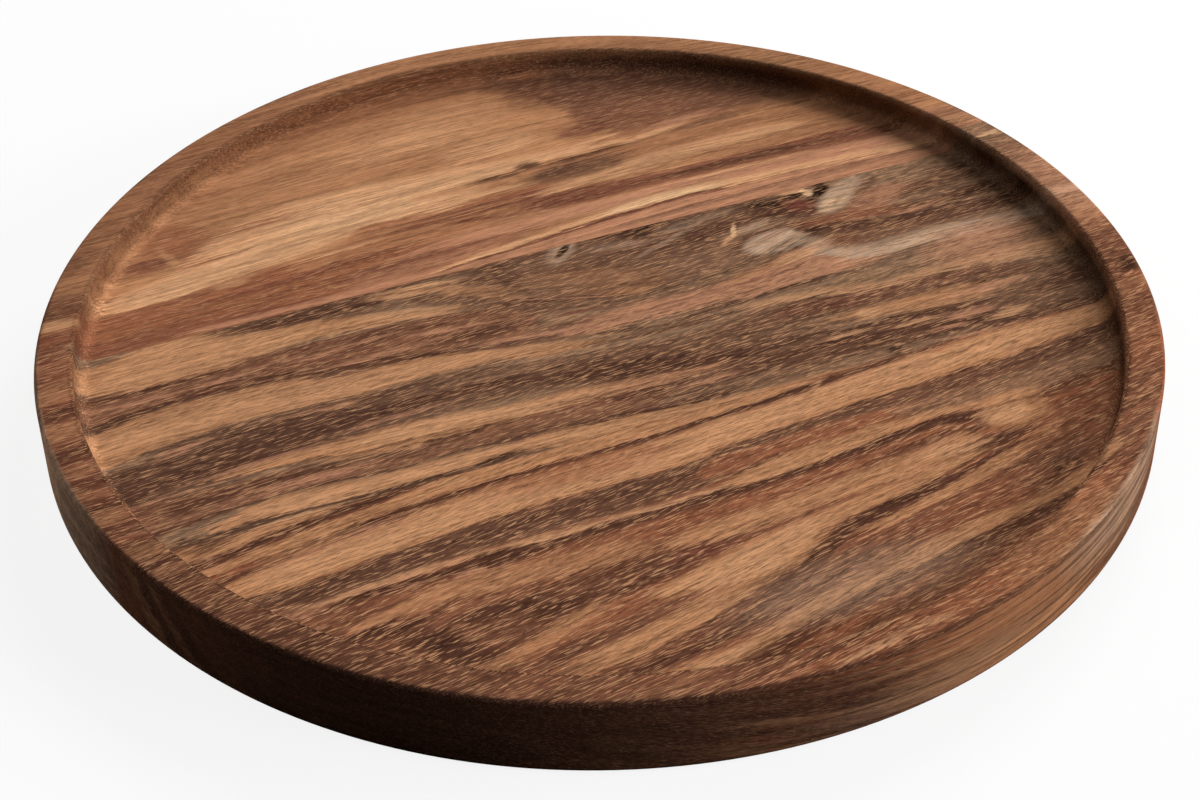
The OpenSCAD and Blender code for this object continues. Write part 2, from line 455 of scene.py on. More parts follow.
MIDDLE_BANDS = (
    # Tan wood at the upper left
    ("honey", 2.0, 0.9, (
        (-168, 44, 33), (-150, 47, 30), (-130, 51, 27), (-116, 50, 28), (-104, 44, 31.5),
        (-80, 41, 32), (-60, 36, 31.5), (-50, 33, 30.4), (-40, 31, 29.6),
    )),
    ("sap", 3.0, 0.3, ((-152, 42, 31), (-130, 51, 28), (-115, 50, 29), (-90, 41, 33))),
    ("umber", 2.0, 0.73, (
        (-119, 49, 47.6), (-108, 51, 44.5), (-90, 51, 43), (-70, 51, 42), (-58, 50, 43.5),
        (-42, 48, 47),
    )),
    ("chestnut", 2.0, 0.8, (
        (-165, 29, 16), (-130, 30.5, 17), (-100, 31, 16), (-70, 30, 11), (-45, 29, 10),
        (-22, 22, 9),
    )),
    ("umber", 1.6, 0.65, (
        (-165, 17, 12), (-140, 19.4, 16.4), (-120, 19.6, 17), (-100, 18.6, 15.6), (-80, 16.5, 12),
        (-60, 13, 10), (-45, 10, 7.6),
    )),
    # The long tan band
    ("honey", 1.4, 0.82, (
        (-168, 10, -6), (-160, 12, -5), (-140, 16, -2), (-120, 16.2, 0.4), (-100, 15, 0),
        (-85, 11.5, -0.6), (-57, 9.8, -1.2), (-45, 7.6, -1.6), (-34, 5, -2.2), (-20, 2, -4.8),
        (-8, -2, -5.6), (0, -4.4, -5),
    )),
    ("sap", 3.5, 0.25, (
        (-150, 12, 2), (-130, 14.5, 2), (-100, 12, 1.5), (-80, 9.4, 1), (-50, 7, 1), (-30, 3, 0),
    )),
    # Dark wood under it
    ("walnut", 2.0, 0.75, (
        (-165, -8, -27), (-150, -6, -26), (-140, -2.4, -24), (-120, -1, -21.6), (-90, -1.6, -21),
        (-60, -2.4, -21), (-30, -5.4, -22), (-10, -8, -24), (15, -12, -28),
    )),
    ("umber", 3.4, 0.69, (
        (-163, -9, -26), (-140, -7.6, -21), (-110, -5.6, -20), (-80, -7.6, -15.6),
        (-50, -9.6, -14.6), (-25, -13, -19), (-5, -15, -22),
    )),
    ("rose", 0.8, 0.85, (
        (-160, -27.2, -28.2), (-145, -25.2, -26.2), (-112, -24.4, -25.2), (-95, -25.4, -26),
    )),
    # Lower tan bands
    ("honey", 1.6, 0.9, (
        (-128, -22.4, -24), (-110, -21.6, -25.6), (-95, -21, -30), (-80, -20.6, -32),
        (-40, -24.2, -34), (0, -27.6, -33), (24, -29.6, -33),
    )),
    ("sap", 2.0, 0.5, ((-84, -21.6, -27), (-60, -21.6, -29), (-30, -27, -33), (-10, -28.6, -32))),
    ("umber", 1.2, 0.69, (
        (-138, -23.6, -24.4), (-110, -25, -26.2), (-97, -26.6, -28.2), (-88, -28.2, -29.6),
        (-62, -29, -30),
    )),
    ("chestnut", 1.5, 0.8, (
        (-160, -27, -43), (-120, -27.6, -38), (-80, -32.6, -39.6), (-40, -32, -41), (0, -33, -44),
    )),
    ("umber", 1.4, 0.73, (
        (-160, -40, -42.6), (-140, -38.4, -40.6), (-110, -37, -39), (-80, -39.2, -40.7),
        (-40, -40.4, -42), (-20, -41, -43.4), (-5, -42.6, -46.2), (20, -44, -47.4),
    )),
    ("honey", 1.2, 0.9, (
        (-138, -43.4, -46.4), (-130, -41, -46.6), (-120, -39.2, -46.4), (-100, -40.2, -46.8),
        (-80, -41, -47.8), (-60, -41.8, -48.2), (-40, -42.4, -49), (-20, -43.8, -52),
        (0, -46.4, -52), (20, -47.6, -52), (35, -48.6, -52), (60, -49.2, -52), (95, -50, -52),
    )),
    ("sap", 2.0, 0.35, (
        (-126, -41, -45), (-90, -42, -46.4), (-50, -43, -47), (-20, -45, -49.4), (10, -48, -52),
        (40, -49.4, -52),
    )),
    ("umber", 1.2, 0.73, (
        (-165, -47, -51), (-140, -46.8, -50.6), (-120, -46.4, -49), (-100, -47.2, -51),
        (-80, -48, -51), (-60, -48.6, -50), (-40, -49.2, -50),
    )),
    ("sap", 0.8, 0.85, (
        (-134, -50.6, -52), (-120, -49.2, -52), (-105, -49.2, -50.4), (-96, -49.6, -49.9),
    )),
    # Round the knots
    ("rose", 2.0, 0.7, (
        (-34, 9.6, 7), (-10, 6.4, 2), (0, 6, 1), (20, 8, 0), (50, 8, -1.6), (80, 12, -1.6),
        (98, 6, -1),
    )),
    ("umber", 1.2, 0.69, (
        (-30, 31.6, 30), (-20, 27.4, 25.2), (-10, 23, 21), (0, 20.2, 18), (10, 17, 15.2),
        (20, 14.2, 12.8), (35, 13.6, 12.2), (48, 13.8, 12.2), (56, 16, 14.6), (64, 19.4, 18),
    )),
    ("rose", 0.8, 0.7, ((-24, 30.4, 29), (-10, 25, 23.6), (2, 21.8, 20.6), (12, 19, 17.4))),
    ("maroon", 0.8, 0.7, (
        (-6, 14, 12.6), (10, 11, 9.8), (20, 10, 9), (50, 9.8, 8.8), (64, 13, 12), (82, 17.4, 16.6),
    )),
    ("maroon", 0.8, 0.55, ((-2, 8.4, 7.2), (12, 5, 4), (45, 6.2, 5.2), (70, 6.6, 5.8))),
    ("umber", 1.4, 0.69, (
        (-60, 11.4, 10), (-40, 8.6, 6.8), (-20, 5.4, 3.6), (-8, 2, 0.2), (0, 0.4, -1), (12, -2, -4),
        (25, -4, -6), (40, -2.6, -4.6), (60, -2, -3.6), (84, -2, -3.6), (100, -5, -6),
    )),
    ("umber", 2.0, 0.69, (
        (80, 31, 29), (88, 29.4, 25), (95, 26, 21.6), (105, 23.4, 19.6), (120, 21, 17),
        (140, 20.6, 16), (166, 18, 13),
    )),
    ("mist", 3.0, 0.9, (
        (86, 15, 10), (95, 11.4, 4), (105, 10, 2), (120, 10.2, 1.6), (135, 9.4, 1.2), (152, 8, 1),
    )),
    ("taupe", 2.5, 0.7, ((84, -2, -8), (100, 0, -11), (120, -0.6, -11), (150, -2, -12))),
    ("sap", 2.2, 0.6, (
        (52, -5.4, -8.6), (70, -6.6, -10), (85, -9, -12.6), (100, -10.8, -14.6), (120, -11, -15.6),
        (145, -11, -18),
    )),
    ("maroon", 2.0, 0.4, ((60, -12.6, -17), (85, -14, -20), (110, -16.4, -20.6), (140, -18, -26))),
    ("walnut", 5.0, 0.35, (
        (-6, -16, -44), (20, -22, -47), (60, -21, -49), (100, -22, -50), (150, -24, -50),
    )),
    # Dark heart against the joint
    ("umber", 2.4, 0.65, (
        (16, 50.5, 49.4), (28, 51, 44), (36, 51, 42.6), (48, 51, 46.4), (72, 51, 48.4),
        (92, 51, 49.4),
    )),
    ("soot", 0.9, 0.95, (
        (22, 51, 50.2), (27, 51, 48.4), (31, 51, 45.4), (35, 51, 44.6), (40, 51, 46.6),
        (46, 51, 49.4), (52, 51, 50.4),
    )),
)
MIDDLE_SPOTS = (
    # Smooth grey-brown oval behind the knots
    ("taupe", (22, 34), (44, 13), -2, 0.4, 0.2),
    ("walnut", (14, 39), (40, 6), -6, 0.6, 0.6),
    ("walnut", (-30, 37), (16, 7), -10, 0.6, 0.7),
    ("umber", (30, 47), (26, 2.6), -2, 0.7, 0.5),
    ("umber", (78, 42), (22, 5), -6, 0.7, 0.5),
    ("olive", (10, 27), (20, 6), -20, 0.6, 0.5),
    ("umber", (-20, 46), (6, 1.8), -5, 0.6, 0.6),
    ("umber", (-17, 35), (5, 2.4), -50, 0.6, 0.5),
    ("mist", (24, 43), (10, 1.4), -10, 0.7, 0.25),
    ("umber", (47, 39), (14, 2.2), 14, 0.6, 0.55),
    ("mist", (40, 38), (11, 1.0), 20, 0.6, 0.4),
    ("mist", (54, 45.5), (12, 1.6), 6, 0.7, 0.3),
    ("umber", (56, 37), (9, 2.6), 8, 0.6, 0.6),
    # Light streaks at the upper left
    ("sap", (-47, 47), (13, 0.8), -6, 0.5, 0.85),
    ("sap", (-46, 43.4), (14, 0.9), -8, 0.5, 0.85),
    ("honey", (-50, 45.4), (14, 0.5), -6, 0.5, 0.7),
    ("sap", (-54, 34), (14, 2.0), -12, 0.6, 0.6),
    ("honey", (-30, 38), (14, 1.6), -22, 0.6, 0.55),
    ("honey", (-26, 33), (12, 1.2), -28, 0.6, 0.55),
    ("umber", (-42, 38), (10, 1.2), -16, 0.6, 0.6),
    # Lines in the brown wood on the left
    ("umber", (-142, 27.6), (20, 1.0), 0, 0.5, 0.75),
    ("umber", (-118, 21.8), (14, 0.7), 6, 0.5, 0.75),
    ("umber", (-65, 27), (8, 1.8), 0, 0.6, 0.7),
    ("umber", (-35, 15.6), (16, 3.2), -6, 0.6, 0.7),
    ("rose", (-110, 24), (18, 0.8), 4, 0.5, 0.6),
    ("rose", (-150, 23), (14, 0.8), 0, 0.5, 0.6),
    ("rose", (-78, 24), (16, 1.0), 4, 0.5, 0.6),
    ("rose", (-62, 17), (20, 1.0), 2, 0.5, 0.6),
    ("rose", (-40, 20), (14, 0.8), -8, 0.5, 0.6),
    # Light flecks in the dark band
    ("rose", (-137, -4.8), (8, 0.7), 4, 0.5, 0.8),
    ("rose", (-95, -3.8), (14, 0.6), 0, 0.5, 0.75),
    ("rose", (-143, -7.6), (5, 0.6), 10, 0.5, 0.7),
    ("rose", (-118, -21), (16, 0.7), 2, 0.5, 0.7),
    ("rose", (-70, -16.4), (18, 0.6), 0, 0.5, 0.55),
    ("umber", (-116, -31), (20, 1.6), 0, 0.5, 0.7),
    ("umber", (-72, -33), (22, 1.4), 0, 0.5, 0.6),
    ("rose", (-108, -34), (22, 1.0), 0, 0.5, 0.55),
    ("umber", (-142, -33), (10, 2.0), 0, 0.5, 0.6),
    # Leaf-shaped crack with its pale halo
    ("mist", (5.4, 46.6), (6.4, 3.2), 42, 0.6, 0.6),
    ("soot", (6.4, 47.4), (4.4, 1.2), 38, 0.3, 0.95),
    # Bark pockets against the joint
    ("umber", (84, 42), (13, 5.4), -20, 0.5, 0.7),
    ("soot", (82, 44.6), (7, 2.0), -22, 0.4, 0.85),
    ("soot", (87, 42.6), (4, 1.6), -10, 0.4, 0.85),
    ("maroon", (92, 40), (6, 3.2), -30, 0.5, 0.85),
    ("soot", (92, 46.4), (5.4, 1.5), -10, 0.35, 0.95),
    ("soot", (101, 44.4), (5, 2.2), 25, 0.35, 0.95),
    ("soot", (103.6, 47.4), (2.6, 3.4), 0, 0.3, 0.95),
    ("sap", (93.6, 48.6), (5.6, 1.1), -8, 0.5, 0.95),
    ("cream", (97.6, 46.6), (1.6, 2.6), 15, 0.4, 0.9),
    # Pale oval knot with its dark ring
    ("taupe", (70, 33), (11, 3.0), 8, 0.5, 0.8),
    ("mist", (71, 34.4), (6, 1.4), 12, 0.6, 0.5),
    ("sap", (61.6, 31.4), (4.6, 0.9), 32, 0.6, 0.8),
    ("cream", (64.4, 35), (3.6, 0.8), 62, 0.5, 0.7),
    ("sap", (80, 14.6), (10, 2.8), 14, 0.6, 0.85),
    ("umber", (75.2, 24.2), (15, 7.6), 0, 0.16, 0.9),
    ("mist", (74.6, 24.0), (11.6, 5.4), 6, 0.25, 0.95),
    ("taupe", (77, 21.6), (8, 1.2), 8, 0.6, 0.6),
    ("chestnut", (73, 26.4), (7, 0.8), 14, 0.6, 0.5),
    ("mist", (86, 18), (6, 3), -30, 0.6, 0.6),
    ("chestnut", (96, 15), (6, 2.4), -12, 0.6, 0.6),
    ("umber", (87, 27), (5, 2.6), -30, 0.4, 0.85),
    # Pale wood behind the bark pockets
    ("mist", (105, 38.6), (9, 4.4), 36, 0.4, 0.95),
    ("cream", (103.4, 37.6), (6, 2.2), 32, 0.7, 0.35),
    ("taupe", (109, 41), (7, 0.9), 40, 0.6, 0.6),
    ("mist", (114, 45.6), (9, 3.8), 24, 0.5, 0.75),
    ("chestnut", (118, 43), (6, 1.0), 34, 0.6, 0.5),
    ("umber", (121, 45), (3, 5), 0, 0.6, 0.5),
    ("taupe", (134, 43), (9, 3.4), 10, 0.7, 0.6),
    ("rose", (118, 34), (12, 4.4), 20, 0.6, 0.6),
    ("russet", (106, 27.6), (16, 3), -6, 0.6, 0.6),
    ("rose", (128, 22.6), (12, 0.7), 6, 0.5, 0.75),
    ("umber", (150, 25.4), (9, 2.4), 0, 0.6, 0.7),
    # Pinkish and pale wood on the right
    ("cream", (120, 6.6), (12, 1.8), 0, 0.7, 0.2),
    ("taupe", (112, 9), (11, 0.9), 4, 0.6, 0.5),
    ("rose", (138, -4), (18, 9), 0, 0.6, 0.6),
    ("walnut", (120, 2), (12, 0.7), 8, 0.5, 0.6),
    ("honey", (18, 16.6), (7, 1.6), -8, 0.6, 0.8),
    ("rose", (14, 7), (11, 1.8), 0, 0.6, 0.6),
    ("rose", (26, 0.8), (26, 1.0), 0, 0.6, 0.7),
    ("honey", (60, 9.6), (10, 1.8), 10, 0.6, 0.6),
    ("rose", (90, 2), (8, 3), 0, 0.6, 0.4),
    # Mottled dark wood at the lower right
    ("umber", (6, -24), (22, 4), -6, 0.6, 0.7),
    ("umber", (5, -36), (12, 2.0), 0, 0.6, 0.6),
    ("umber", (40, -29), (24, 2.0), 0, 0.6, 0.6),
    ("umber", (48, -36), (12, 2), 0, 0.6, 0.55),
    ("umber", (74, -37), (13, 2.0), -7, 0.5, 0.75),
    ("umber", (82, -32), (16, 1.4), -3, 0.5, 0.7),
    ("umber", (106, -33), (17, 1.8), -7, 0.5, 0.8),
    ("umber", (100, -40), (18, 1.6), -9, 0.5, 0.7),
    ("umber", (76, -42), (12, 1.2), -3, 0.5, 0.6),
    ("umber", (104, -44.6), (16, 1.4), 0, 0.5, 0.7),
    ("umber", (121, -48), (11, 1.8), 0, 0.5, 0.75),
    ("soot", (83, -46.6), (2.6, 2.0), 0, 0.6, 0.75),
    ("soot", (125.6, -24.6), (3.4, 1.2), 5, 0.6, 0.75),
    ("umber", (35, -29.6), (5, 1.4), 0, 0.6, 0.7),
    ("umber", (112, -21.6), (18, 0.9), 2, 0.5, 0.6),
    ("honey", (98, -25.5), (24, 2.6), -2, 0.6, 0.85),
    ("honey", (112, -30), (14, 2.0), -2, 0.6, 0.6),
    ("sap", (84, -25.4), (4, 1.6), 0, 0.6, 0.8),
    ("rose", (125, -28), (14, 1.6), 0, 0.6, 0.7),
    ("sap", (72, -33.8), (8, 0.6), 0, 0.5, 0.75),
    ("sap", (96, -36.6), (8, 1.0), 0, 0.5, 0.75),
    ("rose", (114, -38.6), (7, 1.8), 0, 0.6, 0.7),
    ("sap", (126, -43.6), (6, 1.6), 10, 0.6, 0.75),
    ("rose", (104, -43), (5, 0.8), 0, 0.6, 0.7),
    ("rose", (112, -49), (16, 0.8), -3, 0.6, 0.7),
    ("rose", (10, -30.6), (18, 0.9), 0, 0.5, 0.6),
    ("rose", (8, -33.6), (14, 0.7), 0, 0.5, 0.6),
    ("rose", (20, -38), (10, 1.2), 0, 0.6, 0.55),
    ("walnut", (0, 25), (28, 8), -16, 0.6, 0.35),
)
MIDDLE_RIM = (
    ("russet", (-170, 0), (16, 60), 0, 0.3, 0.75),
    ("maroon", (-172, -6), (12, 56), 0, 0.6, 0.55),
    ("taupe", (168, 36), (14, 16), 0, 0.5, 0.5),
    ("rose", (172, 6), (14, 26), 0, 0.4, 0.6),
    ("cream", (166, 45), (5, 0.7), 8, 0.5, 0.8),
    ("russet", (168, -36), (14, 24), 0, 0.5, 0.7),
    ("soot", (168, -43), (2.6, 4), -30, 0.6, 0.8),
    ("honey", (-170, 27), (12, 4), 4, 0.5, 0.45),
    ("umber", (-172, 17), (12, 2.6), 4, 0.6, 0.65),
    ("honey", (-172, 9), (12, 3.4), 4, 0.5, 0.4),
    ("umber", (-171, -3), (12, 3.4), 4, 0.6, 0.65),
    ("honey", (-172, -12), (12, 3), 4, 0.5, 0.35),
    ("umber", (-172, -19), (12, 3), 4, 0.6, 0.5),
    ("olive", (-171, -25), (12, 2.6), 4, 0.5, 0.4),
    ("umber", (-170, -31), (12, 3), 4, 0.6, 0.5),
    ("honey", (-168, -37), (12, 3), 4, 0.5, 0.35),
    ("umber", (-166, -43), (12, 2.4), 4, 0.6, 0.4),
    ("umber", (168, -34), (12, 18), 0, 0.5, 0.45),
    ("chestnut", (168, 36), (10, 12), 0, 0.5, 0.3),
)
# Painted light on the outer wall: painted shade (umber) towards the front and a painted grey sheen (mist) at
# the left end
MIDDLE_WALL_PAINTED_LIGHT = (
    ("umber", (-172, -40), (20, 34), 0, 0.6, 0.6),
    ("mist", (-178, 6), (20, 38), 0, 0.6, 0.55),
)
MIDDLE_FLECKS = (
    ((20, -26), (90, 16), 0, 0.5, 0.9),
    ((-90, 24), (80, 8), 0, 0.5, 0.6),
    ((-100, -12), (60, 10), 0, 0.5, 0.5),
    ((90, -34), (70, 14), 0, 0.5, 0.8),
)

FRONT_BANDS = (
    # Tan bands next to the joint, with the dark lines between them
    ("honey", 1.2, 0.9, ((-158, -52, -58), (-140, -50, -57), (-125, -49, -54), (-106, -49, -51))),
    ("umber", 1.6, 0.73, (
        (-158, -58, -66), (-140, -56.4, -61), (-130, -54.6, -59.4), (-115, -51.6, -57),
        (-100, -50, -54.4), (-86, -49.6, -52),
    )),
    ("honey", 1.2, 0.9, (
        (-150, -62, -66), (-120, -58, -63), (-100, -54.6, -60.6), (-80, -51.4, -57.6),
        (-60, -49, -57), (-30, -49, -56.6), (0, -49, -55.6), (20, -49, -54), (45, -49, -52.4),
    )),
    ("umber", 1.4, 0.77, (
        (-158, -68, -73), (-140, -66.6, -70), (-120, -62.6, -66.4), (-100, -60.4, -63.4),
        (-80, -57.6, -60.6), (-60, -57, -59.4), (-30, -56.6, -59), (0, -55.6, -58),
        (20, -54, -56.4), (40, -52.4, -55), (60, -51, -53), (88, -50.2, -51.4),
    )),
    ("honey", 1.5, 0.95, (
        (-144, -70, -77), (-130, -68, -79.6), (-110, -65, -77.6), (-90, -62, -75.6),
        (-60, -60, -73.6), (-30, -59.6, -73.2), (0, -58.6, -72.4), (20, -57, -70.4),
        (40, -55.6, -69), (60, -53.8, -67), (85, -51.8, -65), (110, -51, -64.4), (140, -50.6, -61),
        (160, -50, -58),
    )),
    ("sap", 3.0, 0.4, (
        (-130, -69, -76), (-100, -66, -74), (-60, -62, -71), (-20, -61, -71), (20, -58, -67),
        (60, -54, -62), (90, -52, -60.6), (125, -51.6, -60.6), (152, -51.4, -57),
    )),
    # Flecked dark wood, and the red wood that follows it to the right
    ("walnut", 1.4, 0.9, (
        (-144, -78, -92), (-120, -79, -87.6), (-100, -76.6, -85.4), (-70, -73.6, -84.4),
        (-30, -73.4, -85), (0, -73, -84.6), (20, -70.6, -82), (40, -69.4, -78), (60, -69, -74),
    )),
    ("umber", 3.4, 0.43, (
        (-130, -80.6, -87), (-100, -78, -84), (-70, -74.6, -82), (-30, -74.4, -81), (0, -74, -80),
    )),
    ("russet", 1.5, 0.85, ((6, -74, -82), (30, -72.6, -80), (55, -72.4, -79.4), (90, -73, -79))),
    ("walnut", 1.5, 0.75, (
        (12, -70.4, -72.4), (40, -68.6, -71.8), (60, -67, -72), (80, -66, -73), (100, -65.4, -74),
        (125, -63, -73), (150, -60, -70),
    )),
    ("taupe", 3.0, 0.6, ((72, -73, -80), (95, -73, -81.6), (120, -72, -82), (145, -70, -80))),
    # Thin light band over the dark lens
    ("sap", 1.0, 0.6, (
        (-134, -88.6, -90), (-115, -87.2, -89.6), (-100, -85.2, -87.8), (-80, -84.6, -87.2),
        (-60, -85, -87.6), (-25, -86, -88.2), (0, -86, -88.2), (20, -84, -87.6), (34, -82, -86.8),
        (50, -81.4, -86),
    )),
    ("honey", 1.5, 0.85, (
        (10, -84, -88), (30, -80.4, -87.6), (45, -80, -86), (64, -79.6, -84.6), (90, -79.8, -83.4),
        (110, -80, -86),
    )),
    ("umber", 1.6, 0.82, (
        (-132, -89.8, -91), (-115, -89.6, -92.4), (-90, -87.8, -92.8), (-60, -87.4, -93.4),
        (-30, -88.2, -93.4), (0, -88, -93), (25, -87.6, -91.4), (45, -86.8, -90), (60, -85, -88.4),
        (75, -83.8, -87), (90, -83.6, -86.4),
    )),
    ("rose", 0.6, 0.8, ((-107, -90.4, -91), (-90, -92, -92.8), (-70, -93, -93.8))),
    ("russet", 3.0, 0.7, (
        (-60, -93, -98), (-30, -92, -101), (0, -92, -100), (30, -90, -97), (60, -88, -94),
        (85, -87, -92),
    )),
    # Sloping wood below
    ("chestnut", 5.0, 0.7, (
        (-150, -84, -150), (-120, -88, -140), (-90, -106, -130), (-60, -108, -120),
    )),
    ("walnut", 4.0, 0.35, ((90, -96, -128), (110, -98, -130), (145, -92, -130))),
    ("honey", 3.0, 0.6, (
        (-110, -99, -103), (-90, -95, -103), (-70, -94, -104), (-50, -96, -105), (-32, -98, -106),
    )),
    ("honey", 3.0, 0.85, (
        (-14, -101, -107), (0, -100, -108), (30, -97.4, -105), (60, -95, -103), (80, -93, -99),
    )),
    ("honey", 2.5, 0.9, (
        (-28, -119, -125), (0, -112, -121), (20, -109, -117), (40, -106, -113), (60, -104, -108.6),
        (80, -101, -104),
    )),
    ("honey", 2.5, 0.9, (
        (-66, -138, -144), (-40, -133, -141), (-20, -126, -136), (0, -119.6, -130),
        (18, -117, -124),
    )),
    ("sap", 2.5, 0.5, ((-20, -119, -124), (0, -114, -127), (20, -110, -116))),
    ("umber", 1.8, 0.77, (
        (-54, -147.6, -151), (-30, -143.6, -148), (-10, -136.6, -141.6), (0, -131.6, -137.4),
        (12, -126, -131.6), (20, -121.6, -127.6), (30, -116, -121.6), (40, -113.2, -119),
        (50, -111.6, -116.2), (60, -109.6, -114), (75, -107, -110.6), (90, -102.8, -106.4),
        (106, -97.6, -99.6),
    )),
    ("umber", 1.8, 0.69, (
        (76, -98.4, -101), (90, -98, -103), (100, -97.4, -102), (110, -97.4, -98.6),
    )),
    ("honey", 1.0, 0.85, (
        (36, -120, -122.4), (60, -114.6, -118), (80, -108.6, -113), (96, -103.8, -108),
        (112, -98, -101),
    )),
    ("honey", 1.8, 0.85, (
        (-42, -151, -155), (-20, -149, -155), (0, -143.4, -149), (20, -138.6, -144),
        (40, -134.4, -139.6), (60, -130.6, -135.6), (90, -126, -131), (112, -120, -126),
    )),
    ("umber", 2.0, 0.65, (
        (-26, -154.6, -160), (0, -149, -154.6), (20, -144, -149.6), (40, -139.8, -145),
        (60, -136, -141), (76, -133, -138), (100, -128, -132),
    )),
    ("chestnut", 3.0, 0.35, (
        (-10, -131, -141), (20, -127, -138), (60, -118, -130), (100, -108, -125),
    )),
)
FRONT_SPOTS = (
    ("umber", (-140, -51), (12, 1.2), 10, 0.5, 0.75),
    ("umber", (-142, -54), (8, 0.8), 10, 0.5, 0.6),
    ("rose", (-118, -66), (16, 0.7), 9, 0.5, 0.7),
    ("rose", (-96, -62), (12, 0.7), 9, 0.5, 0.7),
    ("rose", (-128, -91.6), (8, 0.6), 2, 0.5, 0.5),
    ("umber", (-110, -106), (12, 2.4), -6, 0.5, 0.8),
    ("umber", (-97, -115), (9, 4), -30, 0.5, 0.8),
    ("umber", (-91, -123), (9, 4.4), -30, 0.5, 0.75),
    ("umber", (-74, -111), (14, 2.6), -4, 0.5, 0.7),
    ("umber", (-58, -116), (10, 2.6), 8, 0.5, 0.7),
    ("umber", (-38, -109), (14, 2.6), 6, 0.6, 0.6),
    ("umber", (-32, -115), (12, 2.4), 8, 0.6, 0.6),
    ("umber", (-86, -134), (8, 3), 0, 0.6, 0.6),
    ("umber", (-64, -133), (9, 2.4), 14, 0.6, 0.55),
    ("umber", (-72, -141), (12, 2.0), 6, 0.6, 0.5),
    ("maroon", (-15, -111), (7, 3.4), 0, 0.6, 0.7),
    ("honey", (-72, -128), (22, 2.6), 16, 0.5, 0.6),
    ("honey", (-58, -121), (10, 1.2), 14, 0.5, 0.6),
    # Forked dark streak with the bright patch in its mouth
    ("umber", (86, -88), (9, 1.3), -10, 0.5, 0.85),
    ("umber", (88, -92.4), (6, 1.4), 10, 0.5, 0.8),
    ("umber", (92, -90), (4, 0.9), -20, 0.5, 0.8),
    ("honey", (101, -91), (10, 5.4), 0, 0.5, 0.9),
    ("sap", (98, -90), (6, 3.4), 0, 0.6, 0.6),
    ("sap", (74, -97), (10, 0.9), 4, 0.5, 0.75),
    ("sap", (78, -99.4), (9, 0.8), 4, 0.5, 0.7),
    ("rose", (72, -94.4), (9, 0.7), 6, 0.5, 0.6),
    ("umber", (66, -92), (14, 1.6), 4, 0.6, 0.6),
    # Small round knot near the far end of the streaks
    ("umber", (102.6, -118.4), (4.4, 2.8), 0, 0.3, 0.7),
    ("honey", (102.6, -118.2), (2.6, 1.6), 0, 0.3, 0.8),
    ("umber", (102.6, -118.2), (1.0, 0.7), 0, 0.4, 0.8),
    ("walnut", (104, -112), (10, 5), 0, 0.6, 0.5),
    ("russet", (114, -100), (18, 5), 15, 0.6, 0.5),
    ("russet", (-30, -63), (26, 4), 0, 0.6, 0.6),
    ("honey", (-118, -64), (14, 2.4), 10, 0.5, 0.5),
    ("sap", (-28, -153), (11, 1.6), 12, 0.5, 0.7),
    ("sap", (12, -163.6), (10, 1.4), 6, 0.5, 0.7),
    ("sap", (30, -160.4), (10, 0.8), 6, 0.5, 0.6),
    ("umber", (-14, -162), (14, 1.6), 10, 0.5, 0.7),
    ("sap", (8, -172), (9, 1.2), 6, 0.5, 0.7),
    ("sap", (26, -169), (7, 1.0), 6, 0.5, 0.6),
    ("umber", (38, -174), (6, 2), 10, 0.5, 0.7),
    ("umber", (-6, -168), (18, 1.4), 6, 0.5, 0.6),
    ("honey", (-55, -165), (14, 3), 10, 0.6, 0.6),
    ("mist", (22, -140), (30, 9), 0, 0.7, 0.3),
)
FRONT_RIM = (
    ("chestnut", (-120, -125), (76, 46), -46, 0.4, 0.85),
    ("umber", (-130, -110), (50, 20), -46, 0.7, 0.4),
    ("chestnut", (-60, -164), (60, 16), 16, 0.5, 0.6),
    ("russet", (160, -66), (24, 30), 0, 0.5, 0.7),
    ("umber", (-161, -60), (12, 14), 30, 0.5, 0.3),
    ("umber", (-131, -112), (14, 10), -50, 0.5, 0.4),
    ("umber", (-66, -158), (24, 10), 20, 0.6, 0.2),
    ("honey", (78, -152), (22, 12), 26, 0.5, 0.35),
    ("umber", (112, -130), (10, 10), 0, 0.5, 0.3),
    ("umber", (160, -60), (12, 14), 0, 0.5, 0.45),
)
# Outer wall: wood tones, painted shade (umber) on the front and left, and a painted grey sheen (mist) at the
# right end
FRONT_WALL_TONES_AND_PAINTED_LIGHT = (
    # Painted shade
    ("umber", (-110, -120), (110, 40), -46, 0.5, 0.75),
    ("umber", (-50, -150), (60, 40), 0, 0.5, 0.65),
    ("honey", (70, -140), (44, 30), 22, 0.6, 0.5),
    # Painted sheen
    ("mist", (112, -138), (36, 18), 40, 0.5, 0.6),
    ("russet", (150, -96), (25, 16), 57, 0.3, 1.0),
)
FRONT_FLECKS = (
    ((-95, -112), (60, 26), -20, 0.4, 1.0),
    ((-40, -112), (60, 10), 4, 0.5, 0.8),
    ((-60, -79), (90, 6), 0, 0.4, 0.8),
    ((-80, -55), (60, 4), 6, 0.5, 0.5),
    ((70, -95), (60, 12), 4, 0.5, 0.6),
    ((0, -165), (60, 9), 4, 0.5, 0.7),
    ((-60, -65), (80, 6), 4, 0.5, 0.35),
)


